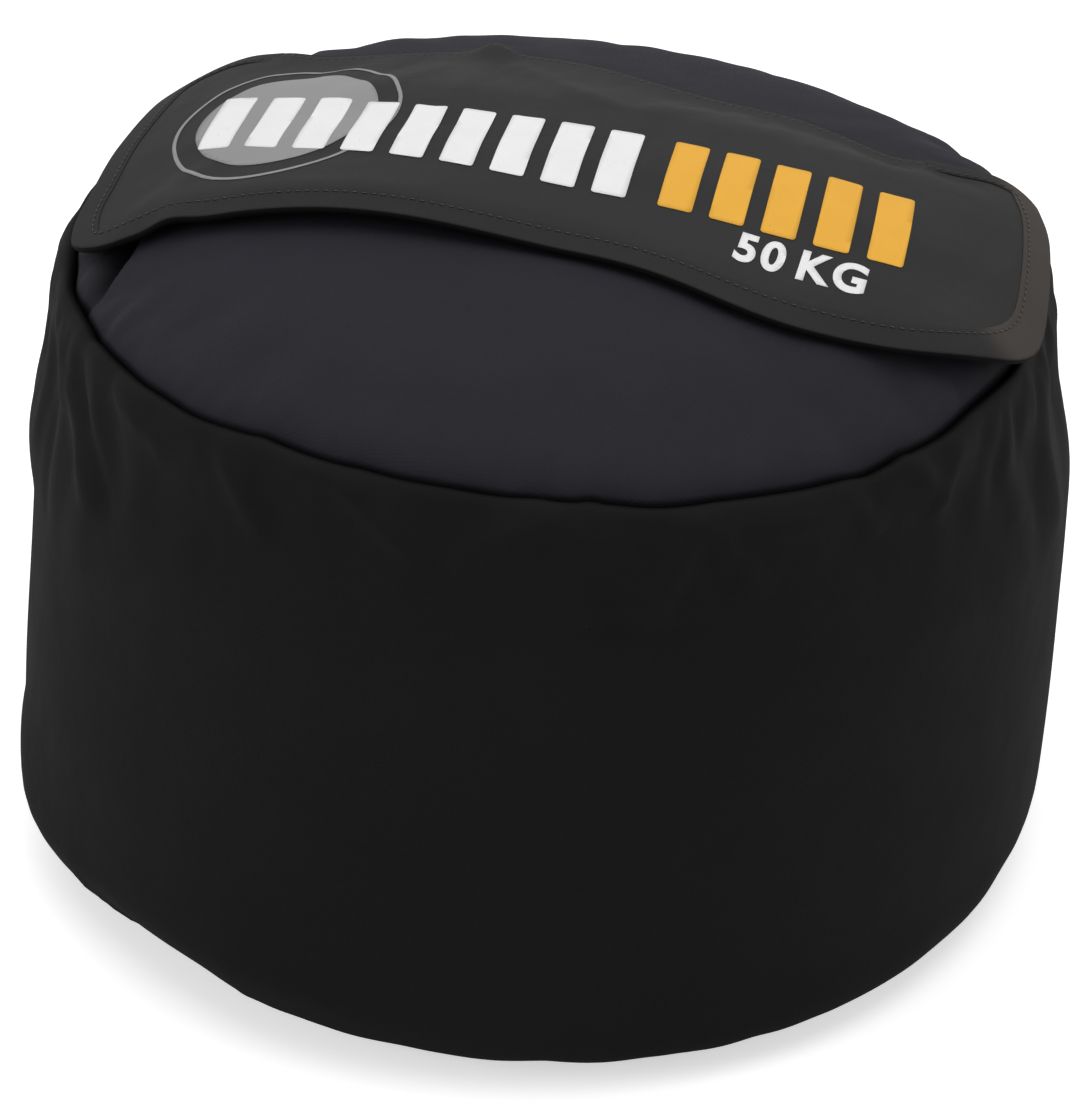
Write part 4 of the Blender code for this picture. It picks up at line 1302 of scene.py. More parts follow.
@dataclass
class BasePanel:
    """The round base, flat where it stands."""

    form: BagForm
    segments: int = 160
    rings: int = 26

    def build(self) -> bpy.types.Object:
        """Builds the base and dresses it."""
        edge = self.form.base_radius - self.form.gap / 2
        flat = np.column_stack((np.linspace(0, self.form.floor_radius, self.rings), np.zeros(self.rings)))
        line = joined(
            flat,
            rounded((self.form.floor_radius, 0), (edge, 0), (edge, self.form.base_height), 8),
            [(edge, self.form.base_height), (edge, self.form.base_height + self.form.allowance)],
        )
        mesh = mesh_of(turn_out(spun(line, self.segments), INSIDE), "bottom_panel_cloth")
        points = coords(mesh)
        lay_uv(mesh, points[:, :2])
        set_coords(mesh, self.form.slumped(points))
        made = piece(mesh, Finishes.wall.made(), Body.BAG, ["bottom_panel"])
        thicken(made, self.form.cloth, -1)
        return made


@dataclass
class TopPanels:
    """The two half discs either side of the zip, and the strips beyond its ends."""

    form: BagForm
    segments: int = 440
    near_rim: float = 0.0017
    wider: Ramp = Ramp(0.035, 0.090, 0.0040)
    zip_end: float = 0.1136
    rim_gathers: Gathers = Gathers(31, 0.0012, 0.045)
    rim_start: float = 0.004
    notch: Fold = Fold((-0.150, -0.056), (-0.160, -0.095), 0.0042, -0.0060)
    notch_painted_shade: float = 1.3
    groove: Span = (0.0032, 0.0050)

    def sheet(self) -> bmesh.types.BMesh:
        """The whole dome, in the top's frame."""
        line = self.form.dome_line()
        line = respaced(line, lambda run: self.near_rim + self.wider.at(run))
        return turn_out(spun(line, self.segments), UNDER)

    def uneven(self, mesh: bpy.types.Mesh) -> None:
        """Moves a panel's points for its puckers and soft swells, and tips them with the rim.

        Args:
            mesh: the panel, in the top's own frame.
        """
        points, outward = coords(mesh), normals(mesh)
        x, y, angle = points[:, 0], points[:, 1], headings(points)
        inward = np.maximum(stored(mesh, RUN) - self.form.allowance, 0)
        away = np.maximum(inward - self.rim_start, 0)
        rise = self.rim_gathers.rise(angle, self.form.rim_radius, away) * self.form.beside_slot(y)
        rise += self.form.swell_at(x, y) + self.notch.rise(x, y)
        points = self.form.seam_moved(points + outward * rise[:, None], angle, inward)
        set_coords(mesh, self.form.on_top(points))

    def half(self, side: int, name: str, node: str) -> None:
        """Builds one half disc.

        Args:
            side: -1 for the front, 1 for the rear.
            name: the piece's name.
            node: the CAD node that it stands for.
        """
        bm = self.sheet()
        cut(bm, (0, side * self.form.slot_half, 0), (0, -side, 0))
        mesh = mesh_of(bm, name)
        places = coords(mesh)[:, :2]
        lay_uv(mesh, places)
        # Painted shade: darkens the panel in the rim's groove, within about 5 mm of its edge, and along the
        # notch's crease.
        grooved = 1 - smooth_share(stored(mesh, RUN) - self.form.allowance, *self.groove)
        notched = self.notch_painted_shade * self.notch.rise(*places.T) / self.notch.height
        keep(mesh, PAINTED_SHADE, np.clip(np.maximum(grooved, notched), 0, 1))
        self.uneven(mesh)
        made = piece(mesh, Finishes.top.made(), Body.BAG, [node])
        thicken(made, self.form.cloth, -1)

    def end_strip(self, side: int, name: str, node: str) -> None:
        """Builds the strip between the zip's end and the rim.

        Args:
            side: -1 for the left, 1 for the right.
            name: the piece's name.
            node: the CAD node that it stands for.
        """
        edge = self.form.slot_half - self.form.gap
        bm = self.sheet()
        cut(bm, (0, edge, 0), (0, 1, 0))
        cut(bm, (0, -edge, 0), (0, -1, 0))
        cut(bm, (side * self.zip_end, 0, 0), (-side, 0, 0))
        mesh = mesh_of(bm, name)
        lay_uv(mesh, coords(mesh)[:, :2])
        self.uneven(mesh)
        made = piece(mesh, Finishes.webbing.made(), Body.BAG, [node])
        thicken(made, self.form.cloth, -1)

    def build(self) -> None:
        """Builds all four pieces."""
        self.half(-1, "front_top_cloth", "front_top_panel")
        self.half(1, "rear_top_cloth", "rear_top_panel")
        self.end_strip(-1, "zip_end_strip_left", "zip_end_panel_left")
        self.end_strip(1, "zip_end_strip_right", "zip_end_panel_right")


@dataclass
class FlapForm:
    """The flap's plan and how it lies over the top, in a frame turned a little on the top.

    x runs along the flap and y across it, towards its sewn edge. Heights are of its middle surface. The
    photographed flap lies a little askew of its plan: its front bellies out, its ends bow, and its sewn
    edge runs back on the left.
    """

    form: BagForm
    turn: float = math.radians(-3.0)
    left: float = -0.1755
    right: float = 0.1848
    front: float = -0.0820
    rear: float = 0.0715
    hinge: float = 0.0540
    hinge_band: float = 0.016
    sewn_half: float = 0.135
    front_left: float = 0.012
    front_right: float = 0.052
    rear_right: float = 0.012
    rear_left: float = 0.030
    binding: float = 0.010
    lap_edge: float = 0.0215
    root_lift: float = 0.0010
    low_from: float = 0.0620
    edge_lift: float = 0.0030
    zip_lift: float = 0.0072
    hook_lift: float = 0.00525
    hook_front: float = 0.0649
    hook_rear: float = 0.0468
    hump: float = 0.0075
    hump_x: float = -0.065
    hump_reach: float = 0.088
    bump: float = 0.0040
    bump_x: float = -0.135
    bump_width: float = 0.015
    bump_from: float = 0.052
    corner_stand: float = 0.0050
    corner_x: Span = (0.120, 0.170)
    corner_y: Span = (0.030, 0.085)
    knot: Swell = Swell(-0.049, 0.067, 0.008, 0.0050)
    flat_ends: Span = (0.004, 0.024)
    flat_root: Span = (0.004, 0.020)
    gathers: Gathers = Gathers(47, 0.0008, 0.085, 0.010, 0.040, 8)
    gathers_radius: float = 0.2
    belly: float = 0.0128
    belly_x: float = 0.098
    belly_width: float = 0.040
    belly_from: float = 0.030
    askew_back: float = 0.0200
    askew_from: float = 0.020
    askew: tuple[Ramp, ...] = (
        Ramp(-0.060, -0.125, -0.0095),
        Ramp(-0.035, 0.055, -0.0245),
        Ramp(0.145, 0.172, 0.0050),
        Ramp(0.070, 0.130, -0.0150),
    )
    right_out: float = 0.003
    right_bow: float = 1.3
    right_bow_from: float = -0.030
    right_reach: Span = (0.100, 0.180)
    left_in: Ramp = Ramp(-0.050, 0.0, 0.0035)
    left_bow: float = 8.5
    left_bow_from: float = -0.046
    left_reach: Span = (0.100, 0.170)
    sewn_past: float = 0.003
    sewn_inset: float = 0.0004
    stitch_in: float = 0.0022
    folds: tuple[Fold, ...] = (
        Fold((-0.048, 0.062), (-0.100, 0.000), 0.009, 0.0009),
        Fold((-0.048, 0.062), (-0.045, -0.010), 0.006, 0.0011),
        Fold((-0.048, 0.062), (0.020, 0.020), 0.006, 0.0012),
        Fold((0.065, 0.060), (0.020, 0.018), 0.007, 0.0008),
        Fold((0.105, 0.055), (0.060, 0.028), 0.007, 0.0008),
        Fold((-0.160, -0.083), (-0.105, -0.025), 0.007, 0.0011),
        Fold((-0.112, -0.070), (-0.030, -0.069), 0.006, 0.0007),
        Fold((0.150, -0.060), (0.172, 0.030), 0.006, -0.0008),
    )

    def lift(self, x: Points, y: Points) -> Points:
        """How far the flap's middle surface stands off the top, without its wrinkles.

        Args:
            x: places along the flap.
            y: places across it.

        Returns:
            The lift at each place.
        """
        out = np.abs(x)
        ends = smooth_share(out, self.sewn_half - self.binding, np.where(x > 0, self.right, -self.left))
        beyond = smooth_share(out, self.sewn_half - 2 * self.binding, self.sewn_half)
        root = between(self.root_lift, self.edge_lift, beyond)
        behind = between(root, self.zip_lift, smooth_share(-y, -self.low_from, -self.lap_edge))
        over = between(self.zip_lift, self.hook_lift, smooth_share(-y, self.lap_edge, self.hook_rear))
        before = between(self.hook_lift, self.edge_lift, smooth_share(-y, self.hook_front, -self.front))
        lift = np.where(y > 0, behind, np.where(y > -self.hook_rear, over, before))
        beside = np.minimum(np.abs(x - self.hump_x) / self.hump_reach, 1)
        stand = self.hump * (1 - beside**2) ** 2 * smooth_share(-y, 0, -self.front)
        bump = bell(x, self.bump_x, self.bump_width) * smooth_share(-y, self.bump_from, -self.front)
        corner = smooth_share(x, *self.corner_x) * smooth_share(-y, *self.corner_y)
        return between(lift + stand + self.bump * bump, self.edge_lift, ends) + self.corner_stand * corner

    def wrinkles(self, x: Points, y: Points) -> Points:
        """How far the flap's wrinkles stand out.

        Args:
            x: places along the flap.
            y: places across it.

        Returns:
            The rise at each place, none near its edges apart from the knot.
        """
        away = np.maximum(self.rear - y, 0)
        rise = self.gathers.rise(x / self.gathers_radius, self.gathers_radius, away)
        rise += sum(fold.rise(x, y) for fold in self.folds)
        edge = np.minimum(x - self.left, self.right - x)
        rise *= smooth_share(edge, *self.flat_ends) * smooth_share(away, *self.flat_root)
        return rise + self.knot.rise(x, y)

    def shifted(self, x: Points, y: Points) -> tuple[Points, Points]:
        """Where the flat flap lies on the top.

        Args:
            x: places along the flat flap.
            y: places across it.

        Returns:
            The same places, along and across the laid flap.
        """
        belly = self.belly * bell(x, self.belly_x, self.belly_width)
        belly = belly * smooth_share(-y, self.belly_from, -self.front)
        askew = self.askew_back + sum(ramp.at(x) for ramp in self.askew)
        askew = askew * smooth_share(y, self.askew_from, self.rear)
        right = self.right_out - self.right_bow * np.maximum(y - self.right_bow_from, 0) ** 2
        left = self.left_bow * np.maximum(self.left_bow_from - y, 0) ** 2 - self.left_in.at(y)
        right = right * smooth_share(x, *self.right_reach)
        return x + right + left * smooth_share(-x, *self.left_reach), y - belly + askew

    def unshifted(self, x: Points, y: Points) -> tuple[Points, Points]:
        """The opposite of shifted, found in a few rounds.

        Args:
            x: places along the laid flap.
            y: places across it.

        Returns:
            The same places in the flat flap.
        """
        rounds = 6
        flat_x, flat_y = x, y
        for _ in range(rounds):
            here_x, here_y = self.shifted(flat_x, flat_y)
            flat_x, flat_y = flat_x + x - here_x, flat_y + y - here_y
        return flat_x, flat_y

    def turned(self, along: Points, across: Points) -> tuple[Points, Points]:
        """A place on the top in the top's own directions."""
        c, s = math.cos(self.turn), math.sin(self.turn)
        return c * along - s * across, s * along + c * across

    def surface(self, x: Points, y: Points, above: Points | float) -> Points:
        """Points over the flap's middle surface, on the slumped bag.

        Args:
            x: along the flap.
            y: across it.
            above: how far over the middle surface.

        Returns:
            Rows of x, y, z.
        """
        along, across = self.shifted(x, y)
        radius = np.maximum(np.hypot(along, across), SAME_POINT)
        height, slope = self.form.drape(radius)
        normal = np.column_stack((-slope * along / radius, -slope * across / radius, np.ones_like(along)))
        normal /= np.linalg.norm(normal, axis=1)[:, None]
        lift = self.lift(x, y) + self.wrinkles(x, y) + above
        points = np.column_stack((along, across, height)) + normal * np.asarray(lift)[:, None]
        return self.form.on_top(np.column_stack((*self.turned(points[:, 0], points[:, 1]), points[:, 2])))

    def swell_under(self, x: Points, y: Points) -> Points:
        """How far the top swells under a place in the flat flap."""
        return self.form.swell_at(*self.turned(*self.shifted(x, y)))

    def columns(self, inset: float, pitch: float) -> Points:
        """The places along the flap of its columns.

        Args:
            inset: how far inside the flap's outline they end.
            pitch: the distance between them.

        Returns:
            The places, closer together at the round corners.
        """
        corner_steps = 16
        left, right = max(self.front_left, self.rear_left), max(self.front_right, self.rear_right)
        start, end = self.left + left, self.right - right
        straight = np.linspace(start, end, int((end - start) / pitch) + 1)
        outer = np.sin(np.linspace(0, math.pi / 2, corner_steps + 1))[1:]
        return np.concatenate(
            (start - (left - inset) * outer[::-1], straight, end + (right - inset) * outer)
        )

    def rows(self, x: float, inset: float, rear: float, count: int) -> Points:
        """The places across the flap at one column.

        Args:
            x: the column's place.
            inset: how far inside the outline they end.
            rear: where they end at the rear, if the outline allows.
            count: how many.

        Returns:
            The places, from front to rear.
        """
        corners = (self.front_left, self.rear_left) if x < 0 else (self.front_right, self.rear_right)
        end = x - self.left if x < 0 else self.right - x
        inward = [
            radius - math.sqrt(max((radius - inset) ** 2 - max(radius - end, 0) ** 2, 0))
            for radius in corners
        ]
        if abs(x) < self.sewn_half + self.sewn_past:
            inward[1] = self.sewn_inset
        return np.linspace(self.front + inward[0], min(self.rear - inward[1], rear), count)

    def outline(self, pitch: float) -> tuple[Points, Points]:
        """The flap's free edge, from the sewn part's right end round the front to its left end.

        Args:
            pitch: the distance between points.

        Returns:
            The points, and at each of them the direction square to the edge, outwards.
        """
        corner_points = 14
        quarter = np.linspace(0, math.pi / 2, corner_points)
        corners = (
            (self.right, self.rear, self.rear_right, 90),
            (self.right, self.front, self.front_right, 0),
            (self.left, self.front, self.front_left, -90),
            (self.left, self.rear, self.rear_left, -180),
        )
        parts = [np.array([(self.sewn_half, self.rear)])]
        for x, y, radius, start in corners:
            turn = math.radians(start) - quarter
            middle = (x - math.copysign(radius, x), y - math.copysign(radius, y))
            arc = np.column_stack((np.cos(turn), np.sin(turn)))
            parts.append(np.array(middle) + radius * arc)
        parts.append(np.array([(-self.sewn_half, self.rear)]))
        line = evenly(joined(*parts), pitch)
        along = np.gradient(line, axis=0)
        along /= np.linalg.norm(along, axis=1)[:, None]
        return line, np.column_stack((-along[:, 1], along[:, 0]))

    def bend(self, made: bpy.types.Object) -> None:
        """Bakes a piece's place into its mesh; the points on the flap's hinge line that it finds are not
        used.
        """
        edge = self.surface(np.zeros(2), np.array([self.hinge, self.hinge - self.hinge_band]), 0)
        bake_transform(made)


@dataclass
class CoverFlap:
    """The wide flap: two plies, the tape bound over its edges, and its turned root.

    The plies stop inside the tape, which is folded round their edges in a small roll.
    """

    plan: FlapForm
    outer_cloth: float = 0.0010
    inner_cloth: float = 0.0009
    ply_apart: float = 0.00015
    tuck: float = 0.0078
    pitch: float = 0.0026
    row_pitch: float = 0.0017
    root_front: float = 0.0615
    root_rear: float = 0.0735
    root_painted_shade: Span = (0.0022, 0.0012)
    root_painted_shade_end: float = 0.004
    tape: float = 0.0005
    fold_gap: float = 0.0002
    tape_pitch: float = 0.0015
    tape_roll: float = 0.0012
    tape_lip: float = 0.0004
    lip_edge: float = 0.0001
    upper_rows: tuple[float, ...] = (0.8, 0.6, 0.4, 0.2)
    lower_rows: tuple[float, ...] = (0.3, 0.6)
    roll_rows: int = 9
    lower_painted_shade: tuple[float, ...] = (0.8, 0.3, 0.2, 0.2)
    roll_painted_shade: Span = (0.35, 0.75)
    thin_end: float = 0.66
    thin_reach: float = 0.014
    stitch_dip: float = 0.0002
    stitch_width: float = 0.0008
    worn_end: Span = (0.166, 0.178)
    strip_above: float = 0.0003
    hook_hang: float = -0.00145
    hook_cloth: float = 0.0016
    strip_columns: int = 120
    strip_rows: int = 9

    def ply(self, name: str, node: str, side: int, cloth: float, rear: float) -> None:
        """Builds one ply.

        Args:
            name: the piece's name.
            node: the CAD node that it stands for.
            side: 1 for the upper ply, -1 for the lower.
            cloth: its thickness.
            rear: where it ends at the rear.
        """
        count = int((rear - self.plan.front) / self.row_pitch) + 1
        columns = [
            np.column_stack((np.full(count, x), self.plan.rows(x, self.tuck, rear, count), np.zeros(count)))
            for x in self.plan.columns(self.tuck, self.pitch)
        ]
        mesh = mesh_of(turn_out(lofted(columns), UNDER), name)
        places = coords(mesh)[:, :2]
        x, y = places.T
        lay_uv(mesh, places)
        # Painted shade: the upper ply darkens along its sewn rear edge.
        if side > 0:
            half = self.plan.sewn_half
            sewn = 1 - smooth_share(np.abs(x), half - self.root_painted_shade_end, half)
            keep(mesh, PAINTED_SHADE, sewn * smooth_share(y, rear - self.root_painted_shade[0], rear - self.root_painted_shade[1]))
        set_coords(mesh, self.plan.surface(x, y, side * self.ply_apart))
        made = piece(mesh, Finishes.flap.made(), None, [node])
        thicken(made, cloth, side)
        self.plan.bend(made)

    def tape_section(self) -> tuple[list[Place], list[float]]:
        """The edge tape's section, over the flap's edge and back under it.

        Returns:
            Its points, as the distance outwards and the height, and how much painted shade each one has: the
            roll's lower half and the underside are darkened.
        """
        above = self.outer_cloth + self.fold_gap + self.tape
        below = self.inner_cloth + self.fold_gap + self.tape
        width, lip = self.plan.binding, self.tape - self.lip_edge
        turn = np.linspace(0, math.pi, self.roll_rows)
        middle, half = (above - below) / 2, (above + below) / 2
        upper = [(-width, above - lip), (-width + self.tape_lip, above)]
        upper += [(-share * width, above) for share in self.upper_rows]
        roll = [(self.tape_roll * math.sin(angle), middle + half * math.cos(angle)) for angle in turn]
        lower = [(-share * width, -below) for share in self.lower_rows]
        lower += [(-width + self.tape_lip, -below), (-width, -below + lip)]
        painted_shade = [0.0] * len(upper) + list(smooth_share(turn, *self.roll_painted_shade)) + list(self.lower_painted_shade)
        return upper + roll + lower, painted_shade

    def edge_tape(self) -> None:
        """Builds the tape folded over the flap's free edges."""
        line, away = self.plan.outline(self.tape_pitch)
        run = lengths_along(line)
        ends = smooth_share(np.minimum(run, run[-1] - run), 0, self.thin_reach)
        thin = between(self.thin_end, 1, ends)
        stitched = self.plan.stitch_in - self.plan.binding
        section, painted_shade = self.tape_section()
        rows = []
        for out, rise in section:
            x, y = (line + away * out).T
            dip = self.stitch_dip * bell(out, stitched, self.stitch_width) * np.sign(rise)
            rows.append(self.plan.surface(x, y, (rise - dip) * thin))
        mesh = mesh_of(turn_out(lofted(rows), (0, 0, 0.27)), "flap_edge_tape")
        lay_uv(mesh, lofted_places(rows, run))
        keep(mesh, WEAR, np.tile(smooth_share(line[:, 0], *self.worn_end), len(rows)))
        # Painted shade on the roll's lower half and the tape's underside.
        keep(mesh, PAINTED_SHADE, np.repeat(painted_shade, len(line)))
        made = piece(mesh, Finishes.binding.made(), None, ["flap_edge_binding"])
        thicken(made, self.tape, -1)
        self.plan.bend(made)

    def strip(
        self,
        name: str,
        node: str,
        edges: Span,
        above: float,
        cloth: float,
        body: Body,
        finish: WovenFinish,
    ) -> None:
        """Builds a strip as long as the flap's sewn edge, laid on the top or hung under the flap.

        Args:
            name: the piece's name.
            node: the CAD node that it stands for.
            edges: its front and rear edges, across the flap.
            above: how far it stands over the top, or over the flap's middle surface.
            cloth: its thickness.
            body: the body that it rides on.
            finish: its finish.
        """
        plan, (front, rear) = self.plan, edges
        on_flap = body is Body.FLAP
        x = np.linspace(-plan.sewn_half, plan.sewn_half, self.strip_columns)
        rows = []
        for y in np.linspace(front, rear, self.strip_rows):
            place = (x, np.full_like(x, y))
            if front < 0:
                place = plan.unshifted(*place)
            down = 0 if on_flap else plan.lift(*place) + plan.wrinkles(*place) - plan.swell_under(*place)
            rows.append(plan.surface(*place, above - down))
        mesh = mesh_of(turn_out(lofted(rows), UNDER), name)
        lay_uv(mesh, lofted_places(rows, x))
        made = piece(mesh, finish.made(), body, [node])
        thicken(made, cloth, -1 if on_flap else 1)

    def build(self) -> None:
        """Builds the flap and the strips that hold it."""
        plan = self.plan
        root = (self.root_front, self.root_rear)
        hooks = (-plan.hook_front, -plan.hook_rear)
        webbing, hooked = Finishes.webbing, Finishes.hooks
        above, hang, cloth, tape = self.strip_above, self.hook_hang, self.hook_cloth, self.tape
        self.ply("flap_outer_cloth", "flap_outer_ply", 1, self.outer_cloth, plan.rear)
        self.ply("flap_inner_cloth", "flap_inner_ply", -1, self.inner_cloth, plan.hinge)
        self.edge_tape()
        self.strip("flap_root_tape", "flap_root_strip", root, above, tape, Body.BAG, webbing)
        self.strip("loop_strip", "top_loop_strip", hooks, above, cloth, Body.BAG, hooked)
        self.strip("hook_strip", "flap_hook_strip", hooks, hang, cloth, Body.FLAP, hooked)


@dataclass
class FlapPrint:
    """Plain printing on the flap: a disc in a thin ring, a rank of bars over it, and the weight.

    The rank of bars runs along a shallow arch.
    """

    plan: FlapForm
    above: float = 0.00135
    ink: float = 0.00008
    layer_step: float = 0.0001
    pitch: float = 0.003
    slant: float = -0.05
    half_height: float = 0.0235
    bar_step: float = 0.0191
    bar_width: float = 0.0128
    bar_corner: float = 0.0014
    white_bars: tuple[float, int] = (-0.1345, 9)
    amber_bars: tuple[float, int] = (0.0430, 5)
    arch: tuple[float, float, float] = (-0.0215, -0.045, 0.40)
    disc_radius: float = 0.033
    ring_radii: Span = (0.0405, 0.0420)
    round_place: Place = (-0.106, -0.006)
    round_stretch: float = 1.32
    weight_place: Place = (0.0760, -0.0635)
    weight_size: Place = (0.047, 0.0148)

    def middle(self, x: float) -> float:
        """Where across the flap the rank of bars has its middle, at a place along it."""
        level, slope, bow = self.arch
        return level + slope * x + bow * x * x

    def bar(self, bm: bmesh.types.BMesh, x: float) -> None:
        """Adds a slanted bar to a flat print.

        Args:
            bm: the print.
            x: the bar's left edge at its middle height.
        """
        corners = bmesh.ops.create_grid(bm, x_segments=1, y_segments=1, size=0.5)["verts"]
        for vert in corners:
            along = x + (vert.co.x + 0.5) * self.bar_width
            up = 2 * self.half_height * vert.co.y
            vert.co = (along + self.slant * up, self.middle(along) + up, 0)
        bmesh.ops.bevel(
            bm, geom=corners, offset=self.bar_corner, segments=3, profile=0.5, affect="VERTICES", material=-1
        )

    def stamp(self, bm: bmesh.types.BMesh, name: str, finish: PrintFinish, layer: int = 0) -> None:
        """Cuts a flat print into small faces and lays it on the flap.

        Args:
            bm: the print, flat, in the flap's own coordinates.
            name: the piece's name.
            finish: its ink.
            layer: 0 for ink on the cloth, 1 for ink on ink.
        """
        low, high = extent(bm)
        for axis, normal in enumerate((Vector((1, 0, 0)), Vector((0, 1, 0)))):
            for mark in np.arange(low[axis] + self.pitch, high[axis], self.pitch):
                cut(bm, normal * mark, normal, drop=False)
        mesh = mesh_of(turn_out(bm, UNDER), name)
        places = coords(mesh)[:, :2]
        lay_uv(mesh, places)
        set_coords(mesh, self.plan.surface(*places.T, self.above + layer * self.layer_step))
        made = piece(mesh, finish.made(), None)
        thicken(made, self.ink, 1)
        self.plan.bend(made)

    def roundel(self) -> None:
        """Prints a plain grey disc in a thin ring."""
        disc, ring = bmesh.new(), bmesh.new()
        bmesh.ops.create_circle(disc, cap_ends=True, segments=72, radius=self.disc_radius)
        for radius in self.ring_radii:
            bmesh.ops.create_circle(ring, segments=96, radius=radius)
        bmesh.ops.bridge_loops(ring, edges=ring.edges[:])
        x, y = self.round_place
        for bm, name in ((disc, "print_disc_grey"), (ring, "print_ring_grey")):
            for vert in bm.verts:
                vert.co = (x + vert.co.x, y + vert.co.y * self.round_stretch, 0)
            self.stamp(bm, name, Finishes.grey_print)

    def bars(self) -> None:
        """Prints the rank of bars, white and then amber."""
        for name, (first, count), finish, layer in (
            ("print_bars_white", self.white_bars, Finishes.white_print, 1),
            ("print_bars_amber", self.amber_bars, Finishes.amber_print, 0),
        ):
            bm = bmesh.new()
            for index in range(count):
                self.bar(bm, first + index * self.bar_step)
            self.stamp(bm, name, finish, layer)

    def weight(self) -> None:
        """Prints the weight of the fill."""
        words = bpy.data.curves.new("weight_text", "FONT")
        words.body = "50 KG"
        words.size = 0.0300
        words.offset = 0.00110
        words.space_character = 1.18
        words.space_word = 0.35
        holder = bpy.data.objects.new("weight_text", words)
        bpy.context.scene.collection.objects.link(holder)
        flat = bpy.data.meshes.new_from_object(holder)
        bpy.data.objects.remove(holder)
        bm = bmesh.new()
        bm.from_mesh(flat)
        bmesh.ops.remove_doubles(bm, verts=bm.verts, dist=SAME_POINT)
        low, high = extent(bm)
        for vert in bm.verts:
            x, y = (
                start + (place - least) * size / (most - least)
                for start, size, place, least, most in zip(
                    self.weight_place, self.weight_size, vert.co, low, high
                )
            )
            vert.co = (x, y, 0)
        self.stamp(bm, "print_weight", Finishes.white_print)

    def build(self) -> None:
        """Prints everything."""
        self.roundel()
        self.bars()
        self.weight()


@dataclass
class Stitching:
    """Short thread stitches along the sewn lines."""

    plan: FlapForm
    length: float = 0.0026
    pitch: float = 0.0036
    thickness: float = 0.00055
    line_pitch: float = 0.002
    tape_lift: float = 0.0018
    root_in: float = 0.0045
    root_lift: float = 0.0012
    root_points: int = 200

    def sew(self, name: str, line: Points) -> None:
        """Sews a line of stitches over the flap.

        Args:
            name: the piece's name.
            line: its points, on the cloth.
        """
        run = lengths_along(line)
        marks = np.arange(self.pitch / 2, run[-1], self.pitch)
        bm = bmesh.new()
        for mark in marks:
            ends = [
                Vector([np.interp(place, run, line[:, axis]) for axis in range(3)])
                for place in (mark - self.length / 2, mark + self.length / 2)
            ]
            direction = (ends[1] - ends[0]).normalized()
            turn = direction.to_track_quat("X", "Z").to_matrix().to_4x4()
            size = Matrix.Diagonal((self.length / 2, self.thickness / 2, self.thickness / 2, 1))
            place = Matrix.Translation((ends[0] + ends[1]) / 2) @ turn @ size
            bmesh.ops.create_icosphere(bm, subdivisions=1, radius=1, matrix=place)
        self.plan.bend(piece(mesh_of(bm, name), Finishes.thread.made(), None))

    def build(self) -> None:
        """Sews the edge tape and the flap's root."""
        plan = self.plan
        line, away = plan.outline(self.line_pitch)
        inner = line - away * (plan.binding - plan.stitch_in)
        self.sew("stitches_edge_tape", plan.surface(*inner.T, self.tape_lift))
        x = np.linspace(-plan.sewn_half, plan.sewn_half, self.root_points)
        y = np.full_like(x, plan.rear - self.root_in)
        self.sew("stitches_root", plan.surface(x, y, self.root_lift))


